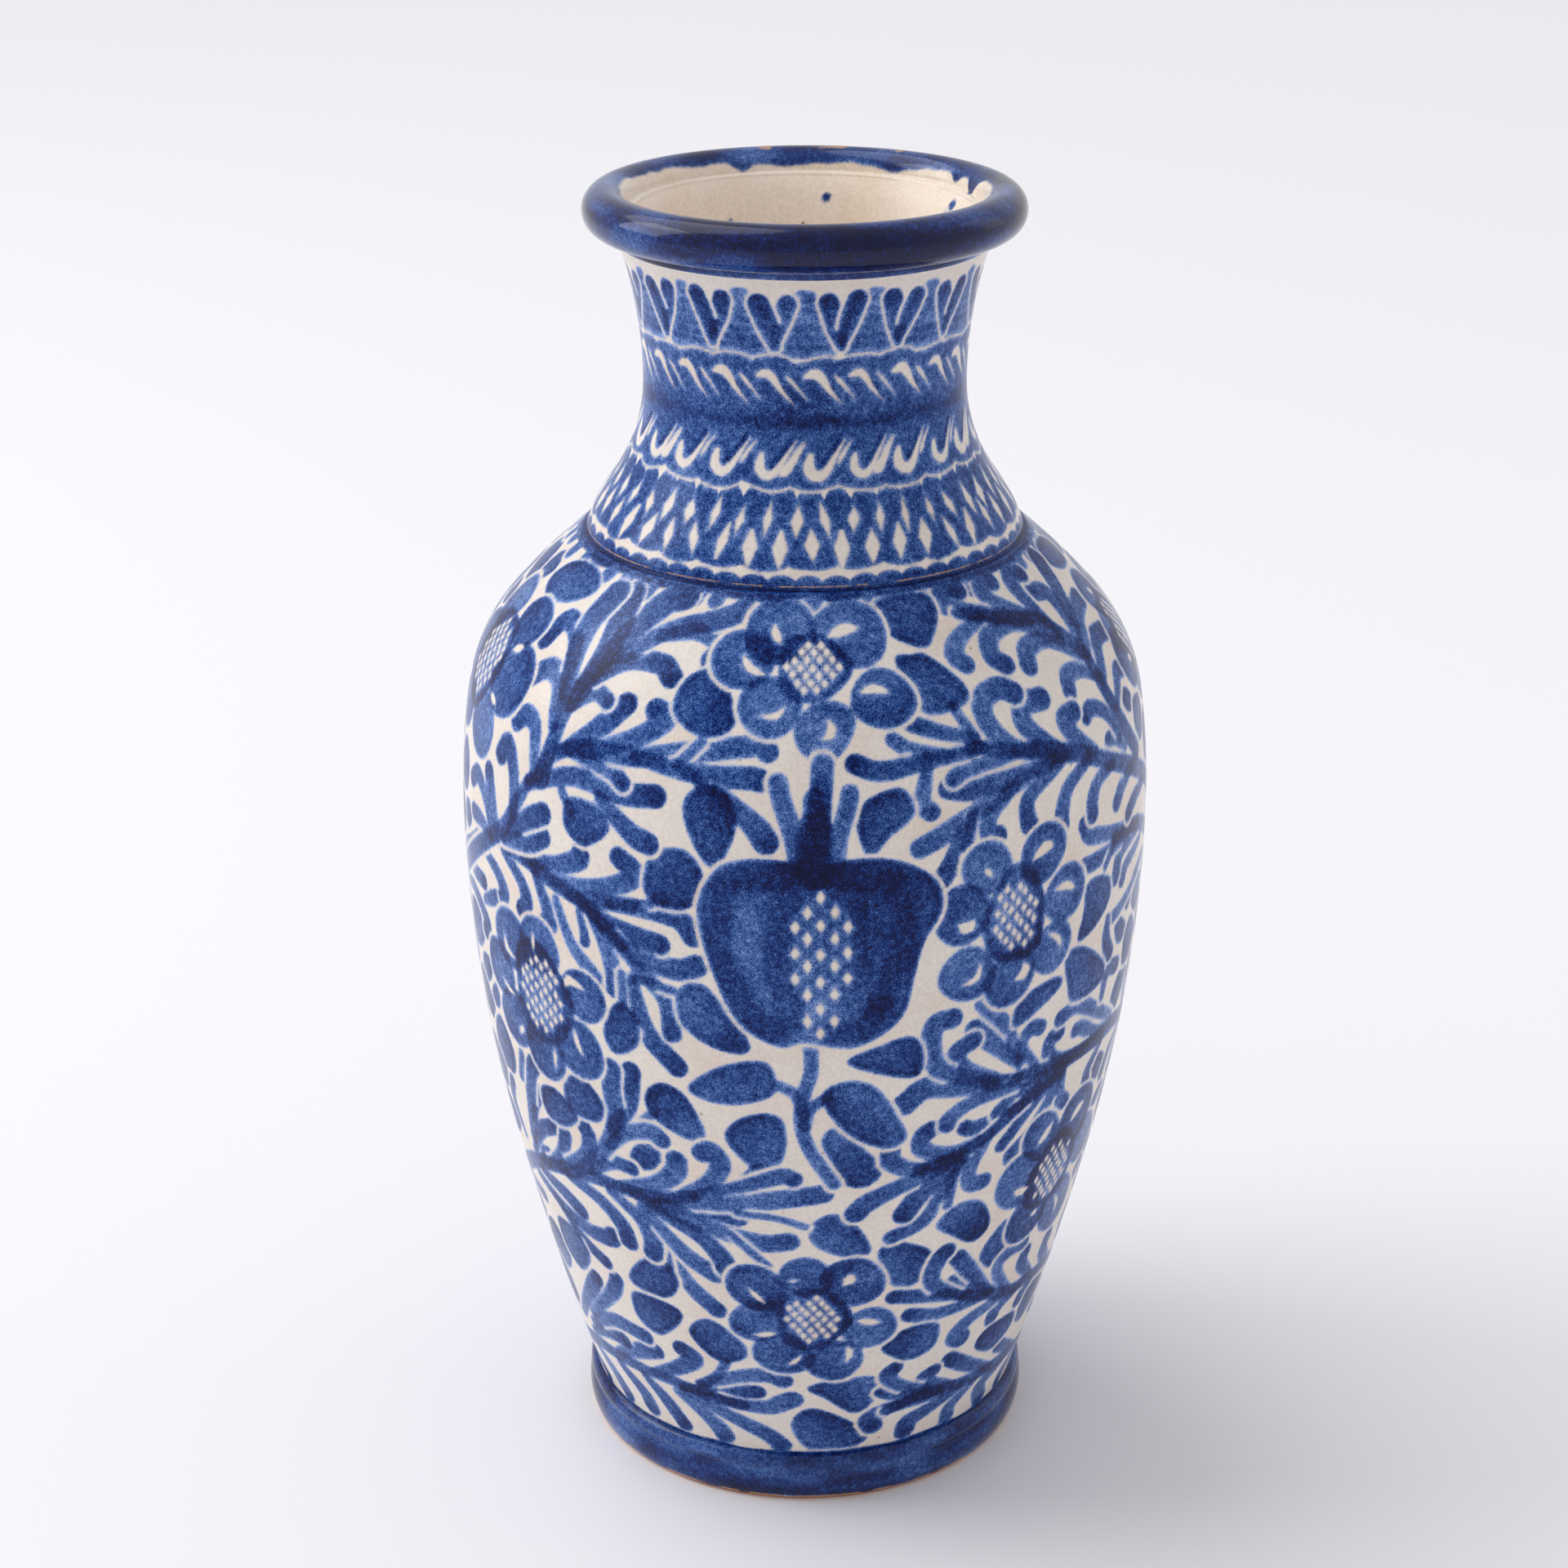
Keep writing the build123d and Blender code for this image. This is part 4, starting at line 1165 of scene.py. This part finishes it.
def whiteGroundGroup():  # warm tin white with iron specks
    tree, given, result = newGroup("tinWhite",
        [("Light", "NodeSocketColor", glazeLook["white"]),
         ("Warm", "NodeSocketColor", glazeLook["whiteWarm"]), ("Specks", "NodeSocketFloat", 1.0),
         ("Blush", "NodeSocketFloat", 1.0)],
        [("Color", "NodeSocketColor")])
    link = tree.links.new
    where = onVase(tree)
    cloud = remap(tree, -800, 0, noise(tree, -1000, 0, 38, 4, 0.6, where), 0.42, 0.75)
    cloud = mathNode(tree, "MULTIPLY", -700, 0, cloud, given.outputs["Blush"])
    ground = mix(tree, -500, 100, cloud, given.outputs["Light"], given.outputs["Warm"])
    dust = remap(tree, -700, -200, noise(tree, -900, -200, 900, 2, 0.7, where), 0.3, 0.7, 0.93, 1.05)
    dusted = addNode(tree, "ShaderNodeVectorMath", -300, 100, operation="SCALE")
    link(ground, dusted.inputs[0])
    link(dust, dusted.inputs["Scale"])
    speck = mathNode(tree, "MULTIPLY", -200, -500, spots(tree, where, 170, 0, 0.86, (0.05, 0.11)),
                     given.outputs["Specks"])
    faint = mathNode(tree, "MULTIPLY", -100, -500, speck, 0.55)
    link(mix(tree, 200, 0, faint, dusted.outputs[0], glazeLook["speck"]), result.inputs["Color"])
    return tree


def glazeSkinGroup():  # soft ripple, orange peel and pinholes of a fired glaze
    tree, given, result = newGroup("firedSkin",
        [("Peel", "NodeSocketFloat", 1.0), ("Pinholes", "NodeSocketFloat", 1.0),
         ("Raise", "NodeSocketFloat", 0.0)],
        [("Height", "NodeSocketFloat"), ("Rough", "NodeSocketFloat")])
    link = tree.links.new
    where = onVase(tree)
    ripple = noise(tree, -1000, 0, 120, 2, 0.5, where)
    peel = noise(tree, -1000, -200, 650, 3, 0.6, where)
    peel = mathNode(tree, "MULTIPLY", -700, -150, peel, given.outputs["Peel"])
    pit = mathNode(tree, "MULTIPLY", -200, -500, spots(tree, where, 260, 1, 0.9, (0.06, 0.16)),
                   given.outputs["Pinholes"])
    height = mathNode(tree, "ADD", 0, 0, mathNode(tree, "MULTIPLY", -200, 0, ripple, 0.9),
                      mathNode(tree, "MULTIPLY", -200, -150, peel, 0.16))
    height = mathNode(tree, "ADD", 200, 0, height, given.outputs["Raise"])
    height = mathNode(tree, "SUBTRACT", 300, 0, height, mathNode(tree, "MULTIPLY", 100, -400, pit, 0.8))
    link(height, result.inputs["Height"])
    uneven = remap(tree, 0, -300, noise(tree, -300, -300, 60, 4, 0.6, where), 0.3, 0.7)
    link(uneven, result.inputs["Rough"])
    return tree


def wornThroughGroup():  # where the glaze drew back and the fired clay shows
    tree, given, result = newGroup("wornThrough",
        [("Color", "NodeSocketColor", None), ("Wear", "NodeSocketFloat", 0),
         ("Clay", "NodeSocketColor", linear(182, 146, 114))],
        [("Color", "NodeSocketColor"), ("Mask", "NodeSocketFloat")])
    where = onVase(tree)
    crumbs = noise(tree, -1000, -200, 900, 4, 0.7, where)
    crumbs = mathNode(tree, "MULTIPLY_ADD", -800, -200, crumbs, 0.9, -0.45)
    mask = mathNode(tree, "ADD", -600, -100, given.outputs["Wear"], crumbs)
    mask = remap(tree, -400, -100, mask, 0.45, 0.75)
    fired = mathNode(tree, "MULTIPLY", -200, -100, mask, 0.8)
    shown = mix(tree, 200, 0, fired, given.outputs["Color"], given.outputs["Clay"])
    tree.links.new(shown, result.inputs["Color"])
    tree.links.new(mask, result.inputs["Mask"])
    return tree


brushedCobalt = brushedCobaltGroup()
wornThrough = wornThroughGroup()
tinWhite = whiteGroundGroup()
firedSkin = glazeSkinGroup()


def placeGroup(tree, group, x, y, **values):
    node = addNode(tree, "ShaderNodeGroup", x, y, node_tree=group)
    for key, value in values.items():
        if hasattr(value, "is_output"):
            tree.links.new(value, node.inputs[key])
        else:
            node.inputs[key].default_value = value
    return node


def newMaterial(name):
    material = bpy.data.materials.new(name)
    material.use_nodes = True
    return material, material.node_tree, material.node_tree.nodes["Principled BSDF"]


def bumped(tree, shader, height, strength, distance):  # a height that tilts the shader's normal
    node = addNode(tree, "ShaderNodeBump", -200, -300)
    node.inputs["Strength"].default_value = strength
    node.inputs["Distance"].default_value = distance
    tree.links.new(height, node.inputs["Height"])
    tree.links.new(node.outputs[0], shader.inputs["Normal"])


def glazedMaterial(name, look):  # reads the painted depth, tone and wear kept on the skin
    material, tree, shader = newMaterial(name)
    link = tree.links.new
    paint, tone, wear = [addNode(tree, "ShaderNodeAttribute", -1300, 200 - 150 * k,
                                 attribute_name=key).outputs["Fac"]
                         for k, key in enumerate(("paint", "tone", "wear"))]
    ground = placeGroup(tree, tinWhite, -1100, -200, Light=look["light"], Warm=look["warm"],
                        Specks=look["specks"], Blush=look["blush"])
    brushed = placeGroup(tree, brushedCobalt, -800, 100, Paint=paint, Tone=tone,
                         Ground=ground.outputs["Color"], Grain=look["grain"], Mottle=look["mottle"],
                         Softness=look["softness"])
    raised = mathNode(tree, "MULTIPLY", -600, -300, brushed.outputs["Mask"], look["raise"])
    fired = placeGroup(tree, firedSkin, -450, -300, Raise=raised, Peel=look["peel"],
                       Pinholes=look["pinholes"])
    bumped(tree, shader, fired.outputs["Height"], look["bump"], 0.0003)
    worn = placeGroup(tree, wornThrough, -500, 200, Color=brushed.outputs["Color"], Wear=wear)
    link(worn.outputs["Color"], shader.inputs["Base Color"])
    rough = mathNode(tree, "MULTIPLY_ADD", -200, -100, fired.outputs["Rough"], look["roughSpread"],
                     look["rough"])
    rough = mathNode(tree, "MULTIPLY_ADD", -100, -50, worn.outputs["Mask"], 0.5, rough)
    link(rough, shader.inputs["Roughness"])
    plain = {"Specular IOR Level": look["specular"], "Coat Weight": look["coat"],
             "Coat Roughness": look["coatRough"], "IOR": 1.5}
    for key, value in plain.items():
        shader.inputs[key].default_value = value
    return material


whiteLook = {"light": glazeLook["white"], "warm": glazeLook["whiteWarm"], "specks": 1.0, "blush": 0.8,
             "grain": 0.6, "mottle": 1.0, "softness": 0.5, "raise": 0.12, "peel": 1.0, "pinholes": 0.8,
             "bump": 0.35, "rough": 0.16, "roughSpread": 0.1, "specular": 0.12, "coat": 0.06,
             "coatRough": 0.05}
# the rim's cream ground is set close to the lining's lightened white, so it carries the same painted light
blueLook = dict(whiteLook, light=linear(236, 223, 208), warm=linear(220, 198, 174), grain=0.9, mottle=0.8,
                softness=0.7, rough=0.12, coat=0.34, specular=0.18, bump=0.45)
# painted light: the lining's whites are lighter than the body's glaze to brighten the shaded inside of the
# mouth
brightenedLiningLook = dict(whiteLook, light=linear(246, 233, 219), warm=linear(236, 216, 196), specks=1.6,
                  rough=0.24, coat=0.1, softness=0.6, pinholes=1.4)
bodyGlaze = glazedMaterial("painted_white_glaze", whiteLook)
rimGlaze = glazedMaterial("cobalt_rim_glaze", blueLook)
liningGlaze = glazedMaterial("lining_glaze", brightenedLiningLook)


def clayMaterial():
    material, tree, shader = newMaterial("bare_fired_clay")
    where = onVase(tree)
    sand = noise(tree, -900, 100, 700, 5, 0.7, where)
    cloud = noise(tree, -900, -150, 60, 3, 0.6, where)
    blend = mathNode(tree, "MULTIPLY_ADD", -700, 0, cloud, 0.6,
                     mathNode(tree, "MULTIPLY", -800, 0, sand, 0.5))
    warm = ramp(tree, -600, 100, blend,
                [(0.25, linear(142, 84, 52)), (0.5, linear(186, 118, 76)), (0.8, linear(214, 160, 118))])
    tree.links.new(warm, shader.inputs["Base Color"])
    tree.links.new(remap(tree, -500, -200, sand, 0.3, 0.7, 0.75, 0.95), shader.inputs["Roughness"])
    bumped(tree, shader, sand, 0.5, 0.0004)
    return material


bareClay = clayMaterial()
for name in ("foot_ring", "lower_body", "upper_body", "neck", "lip_roll"):
    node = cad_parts[name]
    node.data.materials.clear()
    node.data.materials.append(bareClay)
print("glazes and clay mixed")

skins = {"bodyBands": 4, "bodyColumns": 840, "bodyRow": 0.8, "coat": 0.5, "liningCoat": 0.45,
         "neck": (134, 600), "lip": (70, 520), "foot": (30, 520), "lining": (300, 240)}  # rows and columns


def finished(piece, replaced):
    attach(piece, "root")
    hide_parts(replaced)


lastRow = len(body["line"]) - 1
for k in range(skins["bodyBands"]):
    first = lastRow * k / skins["bodyBands"]
    last = lastRow * (k + 1) / skins["bodyBands"]
    rows = round((last - first) * body["step"] / skins["bodyRow"]) + 1
    name = f"body_glaze_band_{k + 1}"
    band = turnSkin(name, body, first, last, rows, skins["bodyColumns"], skins["coat"], bodyGlaze)
    finished(band, "body_glaze")
others = (("neck", neck, skins["coat"], bodyGlaze, "neck_glaze", "white_glaze"),
          ("lip", lip, skins["coat"], rimGlaze, "lip_glaze", "blue_glaze"),
          ("foot", foot, skins["coat"], rimGlaze, "foot_glaze", "blue_glaze"),
          ("lining", lining, skins["liningCoat"], liningGlaze, "inner_glaze", "inner_glaze"))
for part, sheet, coat, glaze, replaced, slot in others:
    skin = turnSkin(part + "_glaze_skin", sheet, 0, len(sheet["line"]) - 1, *skins[part], coat, glaze)
    finished(skin, replaced)
print("glaze skins turned")

studio = {"floor": 60.0, "keyPower": 30.0, "rimPower": 0.6, "sky": 0.72, "sun": 0.98}


def plainFloor():
    mesh = bpy.data.meshes.new("floor")
    reach = studio["floor"]
    corners = [(-reach, -reach, 0), (reach, -reach, 0), (reach, reach, 0), (-reach, reach, 0)]
    mesh.from_pydata(corners, [], [(0, 1, 2, 3)])
    floor = inScene("floor", mesh)
    material, tree, shader = newMaterial("pale_floor")
    shader.inputs["Base Color"].default_value = linear(240, 239, 242)
    shader.inputs["Roughness"].default_value = 0.75
    mesh.materials.append(material)


def softBox(name, place, aim, size, power):  # a soft light aimed at a point
    light = bpy.data.lights.new(name, "AREA")
    light.shape = "RECTANGLE"
    light.size, light.size_y = size
    light.energy = power
    lamp = inScene(name, light)
    lamp.location = place
    away = [p - a for p, a in zip(place, aim)]
    flat = math.hypot(away[0], away[1])
    lamp.rotation_euler = (math.atan2(flat, away[2]), 0, math.atan2(away[0], -away[1]) if flat else 0)


def studioRoom():  # pale walls and ceiling, darker in front
    world = bpy.data.worlds.new("studio")
    bpy.context.scene.world = world
    world.use_nodes = True
    tree = world.node_tree
    where = addNode(tree, "ShaderNodeTexCoord", -900, 0).outputs["Generated"]
    toCamera = addNode(tree, "ShaderNodeVectorMath", -700, 0, operation="DOT_PRODUCT")
    tree.links.new(where, toCamera.inputs[0])
    toCamera.inputs[1].default_value = (0.1, -0.93, 0.36)
    shade = remap(tree, -500, 0, toCamera.outputs["Value"], 0.35, 0.9, 1.0, 0.75)
    strength = mathNode(tree, "MULTIPLY", -300, 0, shade, studio["sky"])
    background = tree.nodes["Background"]
    background.inputs["Color"].default_value = (0.985, 0.98, 1.0, 1)
    tree.links.new(strength, background.inputs["Strength"])


def softSun():  # broad daylight from the left and above
    light = bpy.data.lights.new("windowLight", "SUN")
    light.energy = studio["sun"]
    light.angle = math.radians(50)
    inScene("windowLight", light).rotation_euler = (math.radians(-14), math.radians(-30), 0)


plainFloor()
softBox("key", (-2.6, 0.2, 1.8), (0, 0, 0.2), (1.6, 2.0), studio["keyPower"])
softBox("rim", (1.3, 0.5, 0.9), (0, 0, 0.25), (0.5, 1.0), studio["rimPower"])
softSun()
studioRoom()
bpy.context.scene.view_settings.view_transform = "Standard"

view = {"lens": 72.98, "back": 0.912, "height": 0.5796, "tilt": 21.85, "shift": -0.0133}
camera = bpy.data.cameras.new("camera")
camera.lens = view["lens"]
camera.sensor_width = 36
camera.shift_x = view["shift"]
cameraObject = inScene("camera", camera)
cameraObject.location = (0, -view["back"], view["height"])
cameraObject.rotation_euler = (math.radians(90 - view["tilt"]), 0, 0)
bpy.context.scene.camera = cameraObject
